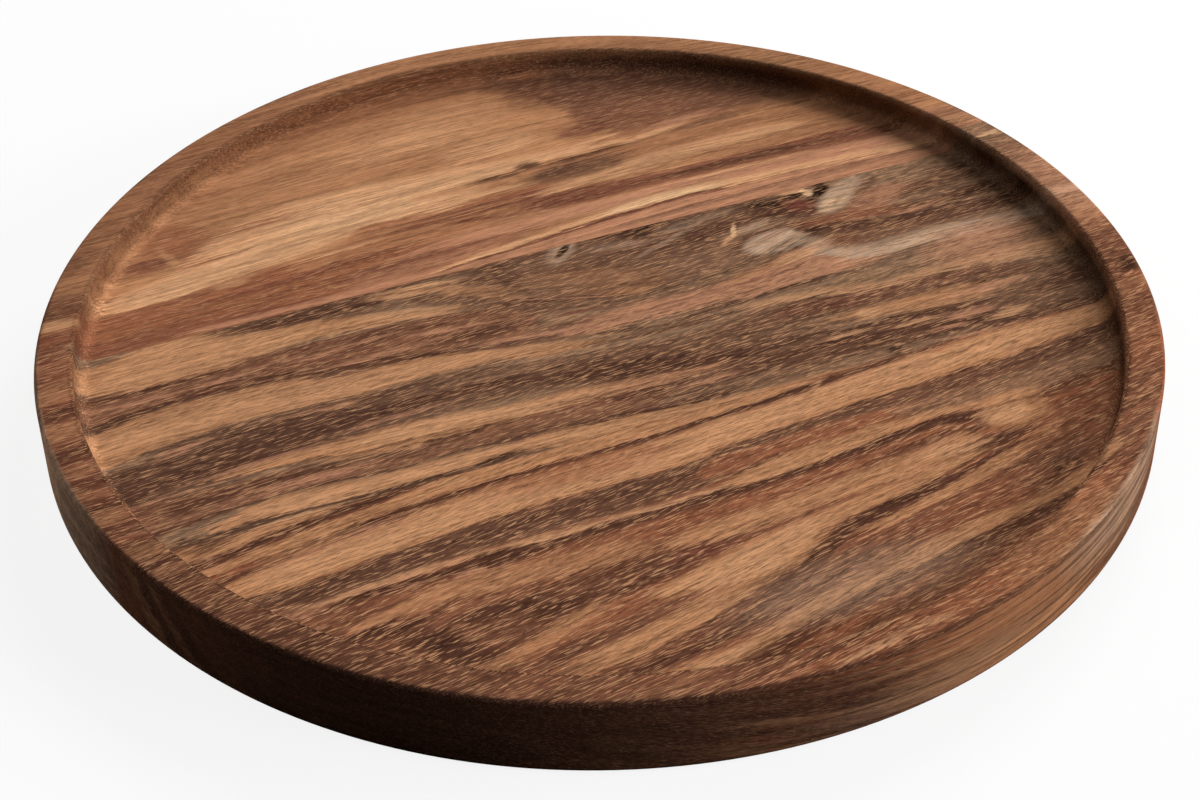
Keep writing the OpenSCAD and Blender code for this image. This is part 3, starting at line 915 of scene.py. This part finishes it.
class NodeBench:
    """Adds nodes to one material or node group and hands back their outputs."""

    COLUMNS = 14
    COLUMN_WIDTH = 240.0
    ROW_HEIGHT = 320.0
    # How far the seed of a noise moves its place on each axis
    SEED_STEP = (37.0, 11.0, 5.0)

    def __init__(self, tree):
        self.tree = tree
        self.tree.nodes.clear()
        self.count = 0

    def add(self, kind, **settings):
        node = self.tree.nodes.new(kind)
        row, column = divmod(self.count, self.COLUMNS)
        node.location = (self.COLUMN_WIDTH * column, -self.ROW_HEIGHT * row)
        self.count += 1
        for name, value in settings.items():
            setattr(node, name, value)
        return node

    def feed(self, socket, value):
        """A link from another node's output, or a plain value on the socket itself."""
        if isinstance(value, bpy.types.NodeSocket):
            self.tree.links.new(value, socket)
        else:
            socket.default_value = value

    def math(self, operation, *values):
        node = self.add("ShaderNodeMath", operation=operation)
        for socket, value in zip(node.inputs, values):
            self.feed(socket, value)
        return node.outputs[0]

    def join(self, x, y, z):
        node = self.add("ShaderNodeCombineXYZ")
        for socket, value in zip(node.inputs, (x, y, z)):
            self.feed(socket, value)
        return node.outputs[0]

    def span(self, value, low, high, to_low=0.0, to_high=1.0, smooth=True):
        """Turns low..high into to_low..to_high; a smooth span stops at its ends, a straight one runs on."""
        kind = "SMOOTHSTEP" if smooth else "LINEAR"
        node = self.add("ShaderNodeMapRange", interpolation_type=kind, clamp=False)
        for socket, given in zip(node.inputs, (value, low, high, to_low, to_high)):
            self.feed(socket, given)
        return node.outputs[0]

    def mix(self, share, first, second):
        node = self.add("ShaderNodeMix", data_type="RGBA")
        self.feed(node.inputs[0], share)
        self.feed(node.inputs[6], first)
        self.feed(node.inputs[7], second)
        return node.outputs[2]

    def noise(self, place, size, detail=2.0, roughness=0.5, seed=0.0, turn=0.0):
        """Noise whose grains measure size = (along, across, through) in millimetres."""
        spread = self.add("ShaderNodeMapping", vector_type="TEXTURE")
        self.feed(spread.inputs["Vector"], place)
        spread.inputs["Location"].default_value = [seed * step for step in self.SEED_STEP]
        spread.inputs["Rotation"].default_value = (0.0, 0.0, radians(turn))
        spread.inputs["Scale"].default_value = size
        node = self.add("ShaderNodeTexNoise", noise_dimensions="3D")
        self.feed(node.inputs["Vector"], spread.outputs[0])
        node.inputs["Scale"].default_value = 1.0
        node.inputs["Detail"].default_value = detail
        node.inputs["Roughness"].default_value = roughness
        return node.outputs[0]

    def curve(self, value, points):
        """A smooth line through points (along, across), both in millimetres."""
        node = self.add("ShaderNodeFloatCurve")
        self.feed(node.inputs["Value"], value)
        line = node.mapping.curves[0]
        places = [[(value / CURVE_REACH_MM + 1.0) / 2.0 for value in point] for point in points]
        while len(line.points) < len(places):
            line.points.new(0.5, 0.5)
        for knot, place in zip(line.points, places):
            knot.location = place
            knot.handle_type = "AUTO_CLAMPED"
        node.mapping.update()
        return node.outputs[0]


def new_material(name):
    """An empty node material, and the bench to fill it."""
    material = bpy.data.materials.new(name)
    material.use_nodes = True
    return material, NodeBench(material.node_tree)


def rgba(colour):
    return (colour[0], colour[1], colour[2], 1.0)


def place_on_wood(bench):
    """Where a point lies, in millimetres: along, across and through the grain, and how high and far out."""
    finish = bpy.context.scene.board_finish
    here = bench.add("ShaderNodeTexCoord").outputs["Object"]
    scaled = bench.add("ShaderNodeVectorMath", operation="SCALE")
    bench.feed(scaled.inputs[0], here)
    scaled.inputs["Scale"].default_value = MM_PER_M
    parts = bench.add("ShaderNodeSeparateXYZ")
    bench.feed(parts.inputs[0], scaled.outputs[0])
    along, across, height = parts.outputs
    depth = bench.math("SUBTRACT", height, FIGURE_HEIGHT_MM)
    # On the outer wall the growth rings lie nearly flat, so the figure runs there in thin layers
    level = bench.add("ShaderNodeVectorMath", operation="MULTIPLY")
    bench.feed(level.inputs[0], scaled.outputs[0])
    level.inputs[1].default_value = (1.0, 1.0, 0.0)
    radius = bench.add("ShaderNodeVectorMath", operation="LENGTH")
    bench.feed(radius.inputs[0], level.outputs[0])
    radius = radius.outputs["Value"]
    wall = bench.span(radius, *[BOARD_RADIUS_MM - inset for inset in WALL_LAYER_FADE])
    below = bench.math("SUBTRACT", RIM_HEIGHT_MM - EDGE_ROUNDING_MM, height)
    below = bench.math("MAXIMUM", below, 0.0)
    layer = bench.math("MULTIPLY", bench.math("MULTIPLY", wall, below), finish.layering / RIM_HEIGHT_MM)
    across = bench.math("MULTIPLY", across, bench.math("SUBTRACT", 1.0, layer))
    across = bench.math("MULTIPLY_ADD", depth, finish.lean, across)
    return along, across, depth, height, radius


def wander_figure(bench, along, across, depth):
    """Pushes the figure about as growth does."""
    finish = bpy.context.scene.board_finish
    still = bench.join(along, across, depth)
    swell = bench.noise(still, SWELL_SIZE, detail=5.0, roughness=0.62)
    return bench.math("ADD", across, bench.span(swell, 0.0, 1.0, -finish.wander, finish.wander, False))


def curve_share(bench, value):
    """A distance from the centre as the share of a curve's width or height that it stands for."""
    return bench.math("MULTIPLY_ADD", value, 0.5 / CURVE_REACH_MM, 0.5)


def closed(edges):
    """A band's edges, brought together just past each end that lies on the board."""
    places = list(edges)
    for number, side in ((0, -1.0), (-1, 1.0)):
        along, top, bottom = edges[number]
        if abs(along) < OPEN_END_MM:
            middle = (top + bottom) / 2.0
            end = (along + side * TIP_LENGTH_MM, middle - TIP_OVERLAP_MM, middle + TIP_OVERLAP_MM)
            places.insert(0 if side < 0 else len(places), end)
    return places


def paint_bands(bench, colour, along, across, bands):
    """Long streaks that follow the growth rings, each between two edges drawn along the grain."""
    tones = bpy.context.scene.board_tones
    along_share = curve_share(bench, along)
    across_share = curve_share(bench, across)
    for name, soft, strength, edges in bands:
        top = bench.curve(along_share, [(u, high) for u, high, low in closed(edges)])
        bottom = bench.curve(along_share, [(u, low) for u, high, low in closed(edges)])
        below = bench.math("SUBTRACT", top, across_share)
        above = bench.math("SUBTRACT", across_share, bottom)
        inside = bench.math("MINIMUM", below, above)
        edge = soft * 0.25 / CURVE_REACH_MM
        share = bench.span(inside, -edge, edge, 0.0, strength)
        colour = bench.mix(share, colour, rgba(getattr(tones, name)))
    return colour


SPOT_SOCKETS = (
    ("Colour", "NodeSocketColor"),
    ("Place", "NodeSocketVector"),
    ("Long Axis", "NodeSocketVector"),
    ("Short Axis", "NodeSocketVector"),
    ("Outer", "NodeSocketFloat"),
    ("Inner", "NodeSocketFloat"),
    ("Strength", "NodeSocketFloat"),
    ("Tone", "NodeSocketColor"),
)


def ellipse_axes(middle, half_size, turn):
    """Two rows that turn a place (along, across, 1) into a place in an ellipse of radius 1."""
    axes = []
    for way, half in zip((radians(turn), radians(turn + 90.0)), half_size):
        row = (cos(way) / half, sin(way) / half)
        axes.append((row[0], row[1], -row[0] * middle[0] - row[1] * middle[1]))
    return axes


def inside_ellipse(bench, place, long_axis, short_axis, outer, inner, strength):
    """The strength inside an ellipse, fading to 0 from its inner to its outer edge, both squared."""
    parts = []
    for axis in (long_axis, short_axis):
        part = bench.add("ShaderNodeVectorMath", operation="DOT_PRODUCT")
        bench.feed(part.inputs[0], place)
        bench.feed(part.inputs[1], axis)
        parts.append(part.outputs["Value"])
    square = bench.math("MULTIPLY", parts[0], parts[0])
    reach = bench.math("MULTIPLY_ADD", parts[1], parts[1], square)
    return bench.span(reach, outer, inner, 0.0, strength)


def spot_group():
    """A node group that lays one soft ellipse of a tone over a colour."""
    if "figure_spot" in bpy.data.node_groups:
        return bpy.data.node_groups["figure_spot"]
    group = bpy.data.node_groups.new("figure_spot", "ShaderNodeTree")
    for name, kind in SPOT_SOCKETS:
        group.interface.new_socket(name=name, in_out="INPUT", socket_type=kind)
    group.interface.new_socket(name="Colour", in_out="OUTPUT", socket_type="NodeSocketColor")
    bench = NodeBench(group)
    given = bench.add("NodeGroupInput").outputs
    names = ("Place", "Long Axis", "Short Axis", "Outer", "Inner", "Strength")
    share = inside_ellipse(bench, *[given[name] for name in names])
    result = bench.add("NodeGroupOutput")
    bench.feed(result.inputs[0], bench.mix(share, given["Colour"], given["Tone"]))
    return group


def paint_spots(bench, colour, torn, calm, spots, share=None):
    """Streaks with torn edges, and short patches and knots with calm ones, each an ellipse."""
    tones = bpy.context.scene.board_tones
    for name, middle, half_size, turn, soft, strength in spots:
        spot = bench.add("ShaderNodeGroup", node_tree=spot_group())
        long_axis, short_axis = ellipse_axes(middle, half_size, turn)
        edges = ((1.0 + soft) ** 2, (1.0 - soft) ** 2)
        flat = torn if half_size[0] > LONGEST_PATCH_MM else calm
        if share is not None:
            strength = bench.math("MULTIPLY", share, strength)
        values = (colour, flat, long_axis, short_axis, *edges, strength, rgba(getattr(tones, name)))
        for socket, value in zip(spot.inputs, values):
            bench.feed(socket, value)
        colour = spot.outputs[0]
    return colour


def follow_flow(bench, along, across, lines):
    """How far across the growth rings a point lies, where the rings follow the given lines."""
    along_share = curve_share(bench, along)
    across_share = curve_share(bench, across)
    heights = [bench.curve(along_share, line) for line in lines]
    steps = [min(line, key=lambda place: abs(place[0]))[1] for line in lines]
    low = bench.math("MINIMUM", bench.math("SUBTRACT", across_share, heights[0]), 0.0)
    high = bench.math("MAXIMUM", bench.math("SUBTRACT", across_share, heights[-1]), 0.0)
    outside = bench.math("MULTIPLY", bench.math("ADD", low, high), 2.0 * CURVE_REACH_MM)
    total = bench.math("ADD", outside, steps[0])
    for number in range(len(lines) - 1):
        gap = bench.math("SUBTRACT", heights[number + 1], heights[number])
        part = bench.math("SUBTRACT", across_share, heights[number])
        share = bench.math("MINIMUM", bench.math("MAXIMUM", bench.math("DIVIDE", part, gap), 0.0), 1.0)
        total = bench.math("MULTIPLY_ADD", share, steps[number + 1] - steps[number], total)
    return total


# What is drawn on one stave: its tables above
Figure = namedtuple("Figure", "flow bands spots rim wall flecked")


def stave_wood(name, base, figure, dash_turn, dash_level):
    """The wood of one stave, drawn from its broad tones down to its pores."""
    tones = bpy.context.scene.board_tones
    finish = bpy.context.scene.board_finish
    material, bench = new_material(name)
    along, across, depth, height, radius = place_on_wood(bench)
    across = wander_figure(bench, along, across, depth)
    ring = follow_flow(bench, along, across, figure.flow)
    place = bench.join(along, ring, depth)

    # Long strands, fine threads and the short dashes that the open pores leave
    strand = bench.noise(place, STRAND_SIZE, detail=3.0, roughness=0.6, seed=5.0)
    thread = bench.noise(place, THREAD_SIZE, detail=3.0, roughness=0.68, seed=1.0)
    level = bench.join(along, across, depth)
    dash = bench.noise(level, DASH_SIZE, roughness=0.6, seed=4.0, turn=dash_turn)
    broad = bench.noise(place, BROAD_SIZE, seed=3.0)

    # The fibres break up the ends and the edges of every streak
    reach = finish.feather
    torn_along = bench.math("ADD", along, bench.span(thread, 0.0, 1.0, -reach, reach, False))
    tear = bench.math("MULTIPLY_ADD", dash, DASH_TEAR, bench.math("ADD", thread, strand))
    highest = 2.0 + DASH_TEAR
    reach = finish.fray * highest / 2.0
    torn_across = bench.math("ADD", across, bench.span(tear, 0.0, highest, -reach, reach, False))
    torn = bench.join(torn_along, torn_across, 1.0)
    drift = bench.math("MULTIPLY", finish.feather * PATCH_DRIFT, bench.math("SUBTRACT", thread, 0.5))
    calm = bench.join(bench.math("ADD", along, drift), bench.math("ADD", across, drift), 1.0)

    colour = bench.mix(
        bench.span(broad, *BROAD_SPAN), rgba(getattr(tones, base[0])), rgba(getattr(tones, base[1]))
    )
    colour = paint_bands(bench, colour, torn_along, torn_across, figure.bands)
    colour = paint_spots(bench, colour, torn, calm, figure.spots)
    on_rim = bench.span(height, *[RIM_HEIGHT_MM - drop for drop in RIM_TONE_FADE])
    colour = paint_spots(bench, colour, torn, calm, figure.rim, on_rim)
    # The outer wall's table: wood tones, painted shade and a painted grey sheen
    on_wall = bench.span(radius, *[BOARD_RADIUS_MM - inset for inset in WALL_TONE_FADE])
    colour = paint_spots(bench, colour, torn, calm, figure.wall, on_wall)

    # Cut growth rings run round the outer wall as thin dark lines
    slope = bench.math("MULTIPLY_ADD", along, RING_SLOPE, depth)
    rings = bench.noise(bench.join(along, across, slope), RING_SIZE, seed=11.0)
    ring_line = bench.math("MULTIPLY", bench.span(rings, *RING_SPAN), on_wall)

    # How open the grain is at the surface, from place to place
    amount = dash_level
    for middle, half_size, turn, soft, strength in figure.flecked:
        axes = ellipse_axes(middle, half_size, turn)
        patch = inside_ellipse(bench, torn, *axes, (1.0 + soft) ** 2, (1.0 - soft) ** 2, strength)
        amount = bench.math("MAXIMUM", patch, amount)

    # End grain is darker, and its fibres show as specks
    facing = bench.add("ShaderNodeSeparateXYZ")
    bench.feed(facing.inputs[0], bench.add("ShaderNodeTexCoord").outputs["Normal"])
    end_grain = bench.math("MULTIPLY", facing.outputs[0], facing.outputs[0])
    less = bench.math("MULTIPLY_ADD", end_grain, -END_GRAIN_CALM, 1.0)
    amount = bench.math("MULTIPLY", amount, less)
    amount = bench.math("MULTIPLY", amount, bench.math("MULTIPLY_ADD", on_wall, -WALL_CALM, 1.0))
    ring_line = bench.math("MULTIPLY", bench.math("MULTIPLY", ring_line, less), RING_STRENGTH)
    colour = bench.mix(ring_line, colour, rgba(tones.umber))

    contrast = finish.fibre_contrast
    lines = bench.math("MULTIPLY_ADD", strand, STRAND_SHARE, thread)
    lines = bench.span(lines, *LINE_SPAN, -contrast * LINE_STRENGTH, contrast * LINE_STRENGTH)
    strokes = bench.span(dash, *DASH_SPAN, -contrast * DASH_STRENGTH, contrast * DASH_STRENGTH)
    grain = bench.math("MULTIPLY_ADD", strokes, amount, lines)
    shade = bench.math("MAXIMUM", bench.math("ADD", grain, 1.0), DARKEST_SHADE)
    shade = bench.math("MULTIPLY", shade, bench.math("MULTIPLY_ADD", end_grain, -END_GRAIN_DARKENING, 1.0))

    # Painted shade: the turned wall of the recess and its inner edge are darkened in the colour
    outside = bench.span(radius, *[RECESS_RADIUS_MM + out for out in RECESS_SHADE_OUT_FADE])
    inner = bench.math("SUBTRACT", 1.0, outside)
    above_floor = bench.span(height, *[RIM_HEIGHT_MM - drop for drop in RECESS_SHADE_DOWN_FADE])
    inner = bench.math("MULTIPLY", inner, above_floor)
    shade = bench.math("MULTIPLY", shade, bench.math("MULTIPLY_ADD", inner, -RECESS_WALL_PAINTED_SHADE, 1.0))
    shaded = bench.add("ShaderNodeVectorMath", operation="SCALE")
    bench.feed(shaded.inputs[0], colour)
    bench.feed(shaded.inputs["Scale"], shade)
    colour = shaded.outputs[0]

    # Flecks: fine light dashes where the fibres run out at the surface
    fleck = bench.noise(level, FLECK_SIZE, detail=1.0, seed=6.0, turn=dash_turn)
    fleck = bench.math("MULTIPLY", bench.span(fleck, *FLECK_SPAN), amount)
    colour = bench.mix(bench.math("MULTIPLY", fleck, FLECK_STRENGTH), colour, rgba(tones.sap))

    # Pores: fine dark dashes sunk into the surface
    pores = bench.noise(level, PORE_SIZE, detail=1.0, seed=8.0, turn=dash_turn)
    pore = bench.span(pores, *PORE_SPAN)
    pore = bench.math("MULTIPLY", pore, bench.math("MULTIPLY_ADD", amount, *PORE_AMOUNT))
    colour = bench.mix(bench.math("MULTIPLY", pore, PORE_STRENGTH), colour, rgba(tones.umber))

    bump = bench.add("ShaderNodeBump")
    bump.inputs["Distance"].default_value = finish.pore_depth
    bump.inputs["Strength"].default_value = 1.0
    bench.feed(bump.inputs["Height"], bench.math("SUBTRACT", bench.math("MULTIPLY", dash, 0.5), pore))

    surface = bench.add("ShaderNodeBsdfPrincipled")
    bench.feed(surface.inputs["Base Color"], colour)
    bench.feed(
        surface.inputs["Roughness"],
        bench.span(thread, 0.3, 0.7, finish.roughness - 0.05, finish.roughness + 0.06, False),
    )
    surface.inputs["Specular IOR Level"].default_value = 0.0
    bench.feed(surface.inputs["Normal"], bump.outputs[0])
    output = bench.add("ShaderNodeOutputMaterial")
    bench.feed(output.inputs["Surface"], surface.outputs[0])
    return material


def pick_faces(piece, wanted):
    """In edit mode, selects only the faces that a test wants."""
    shape = bmesh.from_edit_mesh(piece.data)
    for face in shape.faces:
        face.select_set(False)
    for face in shape.faces:
        if wanted(face):
            face.select_set(True)
    bmesh.update_edit_mesh(piece.data)


def pick_ring(piece, radius, height):
    """In edit mode, selects only the ring of edges at a radius and a height."""
    bpy.ops.mesh.select_all(action="DESELECT")
    bpy.ops.mesh.select_mode(type="EDGE")
    shape = bmesh.from_edit_mesh(piece.data)
    for edge in shape.edges:
        ends = [
            abs(Vector(end.co[:2]).length - radius) < RING_TOLERANCE_M
            and abs(end.co[2] - height) < RING_TOLERANCE_M
            for end in edge.verts
        ]
        edge.select_set(all(ends))
    bmesh.update_edit_mesh(piece.data)


def turned_blank(shape):
    """The whole board as it leaves the lathe: a disc with a rim round a shallow recess."""
    radius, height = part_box("middle_stave")[1][0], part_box("middle_stave")[1][2]
    recess_radius = radius - shape.rim_width
    floor_height = height - shape.recess_depth
    bpy.ops.object.select_all(action="DESELECT")
    bpy.ops.mesh.primitive_cylinder_add(
        vertices=TURNED_SIDES,
        radius=radius,
        depth=height,
        end_fill_type="NGON",
        location=(0.0, 0.0, height / 2.0),
    )
    blank = bpy.context.object
    bpy.ops.object.transform_apply(location=True, rotation=True, scale=True)
    bpy.ops.object.mode_set(mode="EDIT")
    bpy.ops.mesh.select_mode(type="FACE")
    pick_faces(blank, lambda face: face.normal.z > 0.9)
    bpy.ops.mesh.inset(thickness=shape.rim_width)
    bpy.ops.mesh.extrude_region_move(
        TRANSFORM_OT_translate={"value": (0.0, 0.0, -shape.recess_depth)}
    )
    roundings = (
        (radius, 0.0, shape.foot_rounding, FOOT_STEPS),
        (radius, height, shape.edge_rounding, EDGE_STEPS),
        (recess_radius, height, shape.edge_rounding, EDGE_STEPS),
        (recess_radius, floor_height, shape.cove_radius, COVE_STEPS),
    )
    for ring_radius, ring_height, size, steps in roundings:
        pick_ring(blank, ring_radius, ring_height)
        bpy.ops.mesh.bevel(offset=size, segments=steps, profile=0.5, affect="EDGES")
    bpy.ops.object.mode_set(mode="OBJECT")
    return blank


def sawn_stave(name, node_name, material):
    """The part of the turned board that one stave takes up, in place of the plain CAD stave."""
    low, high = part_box(node_name)
    stave = turned_blank(bpy.context.scene.board_shape)
    stave.name = name
    bpy.ops.object.mode_set(mode="EDIT")
    for place, side in ((low[1], -1.0), (high[1], 1.0)):
        # The outer stave's far side is the round wall, which needs no cut
        if abs(place) > 0.9 * high[0]:
            continue
        bpy.ops.mesh.select_all(action="SELECT")
        bpy.ops.mesh.bisect(
            plane_co=(0.0, place, 0.0), plane_no=(0.0, side, 0.0), use_fill=True, clear_outer=True
        )
    bpy.ops.mesh.select_all(action="SELECT")
    bpy.ops.mesh.remove_doubles(threshold=WELD_DISTANCE_M)
    bpy.ops.mesh.normals_make_consistent(inside=False)
    bpy.ops.object.mode_set(mode="OBJECT")
    bpy.ops.object.shade_smooth_by_angle(angle=SMOOTH_ANGLE)
    stave.data.materials.clear()
    stave.data.materials.append(material)
    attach(stave, "root")
    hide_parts(node_name)
    return stave


class BOARD_OT_rear_stave(bpy.types.Operator):
    """Turn and finish the rear stave: honey and tan, with reddish bands by the joint"""

    bl_idname = "board.rear_stave"
    bl_label = "Rear Stave"

    def execute(self, context):
        figure = Figure(REAR_FLOW, REAR_BANDS, REAR_SPOTS, REAR_RIM, (), REAR_FLECKS)
        wood = stave_wood("rear_stave_acacia", ("olive", "honey"), figure, 3.0, 0.45)
        sawn_stave("turned_rear_stave", "rear_stave", wood)
        return {"FINISHED"}


class BOARD_OT_middle_stave(bpy.types.Operator):
    """Turn and finish the middle stave: grey brown and umber, with a tan band and pale knots"""

    bl_idname = "board.middle_stave"
    bl_label = "Middle Stave"

    def execute(self, context):
        figure = Figure(
            MIDDLE_FLOW, MIDDLE_BANDS, MIDDLE_SPOTS, MIDDLE_RIM, MIDDLE_WALL_PAINTED_LIGHT, MIDDLE_FLECKS
        )
        wood = stave_wood("middle_stave_acacia", ("taupe", "walnut"), figure, 6.0, 0.8)
        sawn_stave("turned_middle_stave", "middle_stave", wood)
        return {"FINISHED"}


class BOARD_OT_front_stave(bpy.types.Operator):
    """Turn and finish the front stave: chestnut with tan bands and dark streaks"""

    bl_idname = "board.front_stave"
    bl_label = "Front Stave"

    def execute(self, context):
        figure = Figure(FRONT_FLOW, FRONT_BANDS, FRONT_SPOTS, FRONT_RIM, FRONT_WALL_TONES_AND_PAINTED_LIGHT, FRONT_FLECKS)
        wood = stave_wood("front_stave_acacia", ("chestnut", "russet"), figure, 10.0, 0.9)
        sawn_stave("turned_front_stave", "front_stave", wood)
        return {"FINISHED"}


class BOARD_OT_glue_lines(bpy.types.Operator):
    """Finish the two films of dried glue between the staves"""

    bl_idname = "board.glue_lines"
    bl_label = "Glue Lines"

    def execute(self, context):
        tones = context.scene.board_tones
        glue, bench = new_material("dried_wood_glue")
        along, across, depth = place_on_wood(bench)[:3]
        place = bench.join(along, across, depth)
        cloud = bench.noise(place, GLUE_CLOUD_SIZE, detail=3.0)
        colour = bench.mix(bench.span(cloud, 0.35, 0.65), rgba(tones.walnut), rgba(tones.russet))
        surface = bench.add("ShaderNodeBsdfPrincipled")
        bench.feed(surface.inputs["Base Color"], colour)
        bench.feed(surface.inputs["Roughness"], bench.span(cloud, 0.3, 0.7, 0.5, 0.6, False))
        surface.inputs["Specular IOR Level"].default_value = 0.0
        output = bench.add("ShaderNodeOutputMaterial")
        bench.feed(output.inputs["Surface"], surface.outputs[0])
        for node_name in ("rear_glue_line", "front_glue_line"):
            for slot in frame["nodes"][node_name].material_slots:
                slot.material = glue
        return {"FINISHED"}


def seen_by_camera(tree):
    """1 for rays from the camera and for what gloss and glass show, 0 for light that bounces."""
    path = tree.nodes.new("ShaderNodeLightPath")
    total = path.outputs["Is Camera Ray"]
    for name in ("Is Glossy Ray", "Is Transmission Ray"):
        node = tree.nodes.new("ShaderNodeMath")
        node.operation = "MAXIMUM"
        tree.links.new(total, node.inputs[0])
        tree.links.new(path.outputs[name], node.inputs[1])
        total = node.outputs[0]
    return total


def white_surround(ambient):
    """A world that is white to the eye up to a dim ceiling, and lights the board with little of it."""
    world = bpy.data.worlds.new("studio_surround")
    bpy.context.scene.world = world
    world.use_nodes = True
    tree = world.node_tree
    background = tree.nodes["Background"]
    background.inputs["Color"].default_value = (1.0, 1.0, 1.0, 1.0)
    way = tree.nodes.new("ShaderNodeTexCoord")
    parts = tree.nodes.new("ShaderNodeSeparateXYZ")
    tree.links.new(way.outputs["Generated"], parts.inputs[0])
    ceiling = tree.nodes.new("ShaderNodeMapRange")
    ceiling.interpolation_type = "SMOOTHSTEP"
    tree.links.new(parts.outputs["Z"], ceiling.inputs["Value"])
    for socket, value in zip(ceiling.inputs[1:], (*CEILING_FADE, 1.0, CEILING_DIM)):
        socket.default_value = value
    level = tree.nodes.new("ShaderNodeMix")
    tree.links.new(seen_by_camera(tree), level.inputs[0])
    level.inputs[2].default_value = ambient
    tree.links.new(ceiling.outputs[0], level.inputs[3])
    tree.links.new(level.outputs[0], background.inputs["Strength"])


def pale_ground():
    """A wide white floor that keeps a faint shadow of the board."""
    bpy.ops.mesh.primitive_circle_add(
        vertices=96, radius=FLOOR_RADIUS_M, fill_type="NGON", location=(0.0, 0.0, -FLOOR_DROP_M)
    )
    ground = bpy.context.object
    ground.name = "studio_floor"
    bpy.ops.object.transform_apply(location=True, rotation=True, scale=True)
    white, bench = new_material("white_floor")
    diffuse = bench.add("ShaderNodeBsdfDiffuse")
    diffuse.inputs["Color"].default_value = rgba([FLOOR_WHITE] * 3)
    glow = bench.add("ShaderNodeEmission")
    glow.inputs["Color"].default_value = (1.0, 1.0, 1.0, 1.0)
    glow.inputs["Strength"].default_value = 1.0
    seen = bench.add("ShaderNodeMixShader")
    seen.inputs[0].default_value = FLOOR_GLOW
    bench.feed(seen.inputs[1], diffuse.outputs[0])
    bench.feed(seen.inputs[2], glow.outputs[0])
    dull = bench.add("ShaderNodeBsdfDiffuse")
    dull.inputs["Color"].default_value = rgba([FLOOR_BOUNCE] * 3)
    choice = bench.add("ShaderNodeMixShader")
    bench.feed(choice.inputs[0], seen_by_camera(bench.tree))
    bench.feed(choice.inputs[1], dull.outputs[0])
    bench.feed(choice.inputs[2], seen.outputs[0])
    output = bench.add("ShaderNodeOutputMaterial")
    bench.feed(output.inputs["Surface"], choice.outputs[0])
    ground.data.materials.append(white)


def softbox(name, azimuth, elevation, distance, width, height, watts):
    """A rectangular lamp that looks at the board's centre."""
    lamp = bpy.data.lights.new(name, "AREA")
    lamp.shape = "RECTANGLE"
    lamp.size = width
    lamp.size_y = height
    lamp.energy = watts
    holder = bpy.data.objects.new(name, lamp)
    bpy.context.collection.objects.link(holder)
    way = Vector((cos(azimuth) * cos(elevation), sin(azimuth) * cos(elevation), sin(elevation)))
    holder.location = way * distance
    holder.rotation_euler = way.to_track_quat("Z", "Y").to_euler()
    holder.visible_camera = False


def product_camera(studio):
    """The camera, at the picture's own angle."""
    camera = bpy.data.objects.new("product_camera", bpy.data.cameras.new("product_camera"))
    bpy.context.collection.objects.link(camera)
    camera.data.lens = studio.lens
    camera.data.sensor_width = SENSOR_WIDTH_MM
    back = -studio.camera_distance * cos(studio.camera_height)
    up = studio.camera_distance * sin(studio.camera_height)
    aside = Matrix.Rotation(-studio.grain_turn, 4, "Z")
    stand = Matrix.Rotation(pi / 2.0 - studio.camera_height - studio.camera_tilt, 4, "X")
    roll = Matrix.Rotation(-studio.camera_roll, 4, "Z")
    rim_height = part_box("middle_stave")[1][2]
    place = Matrix.Translation((0.0, 0.0, rim_height)) @ aside @ Matrix.Translation((0.0, back, up))
    camera.matrix_world = place @ stand @ roll
    bpy.context.scene.camera = camera


class BOARD_OT_studio(bpy.types.Operator):
    """Set up the camera, the lamps, the white surround and the floor"""

    bl_idname = "board.studio"
    bl_label = "Studio"

    def execute(self, context):
        studio = context.scene.board_studio
        context.scene.view_settings.view_transform = "Standard"
        product_camera(studio)
        white_surround(studio.ambient)
        pale_ground()
        for name, azimuth, elevation, distance, width, height, power_name in LAMPS:
            watts = getattr(studio, power_name)
            softbox(name, radians(azimuth), radians(elevation), distance, width, height, watts)
        return {"FINISHED"}


class BOARD_PT_sidebar(bpy.types.Panel):
    """Lists the pieces of the board and what they are finished with"""

    bl_idname = "BOARD_PT_sidebar"
    bl_label = "Serving Board"
    bl_space_type = "VIEW_3D"
    bl_region_type = "UI"
    bl_category = "Board"

    def draw(self, context):
        layout = self.layout
        for step in STEPS:
            layout.operator(step.bl_idname)
        for group_name in GROUPS:
            group = getattr(context.scene, group_name)
            column = layout.column()
            for name in group.bl_rna.properties.keys():
                if name not in {"rna_type", "name"}:
                    column.prop(group, name)


STEPS = (
    BOARD_OT_studio,
    BOARD_OT_rear_stave,
    BOARD_OT_middle_stave,
    BOARD_OT_front_stave,
    BOARD_OT_glue_lines,
)
GROUPS = {
    "board_shape": BoardShape,
    "board_tones": WoodTones,
    "board_finish": WoodFinish,
    "board_studio": StudioSet,
}


def register():
    for group in GROUPS.values():
        bpy.utils.register_class(group)
    for name, group in GROUPS.items():
        setattr(bpy.types.Scene, name, PointerProperty(type=group))
    for step in STEPS:
        bpy.utils.register_class(step)
    bpy.utils.register_class(BOARD_PT_sidebar)


def unregister():
    bpy.utils.unregister_class(BOARD_PT_sidebar)
    for step in reversed(STEPS):
        bpy.utils.unregister_class(step)
    for name in GROUPS:
        delattr(bpy.types.Scene, name)
    for group in GROUPS.values():
        bpy.utils.unregister_class(group)


def main():
    register()
    bpy.ops.object.select_all(action="DESELECT")
    bpy.ops.board.studio()
    bpy.ops.board.rear_stave()
    bpy.ops.board.middle_stave()
    bpy.ops.board.front_stave()
    bpy.ops.board.glue_lines()


if __name__ == "__main__":
    main()
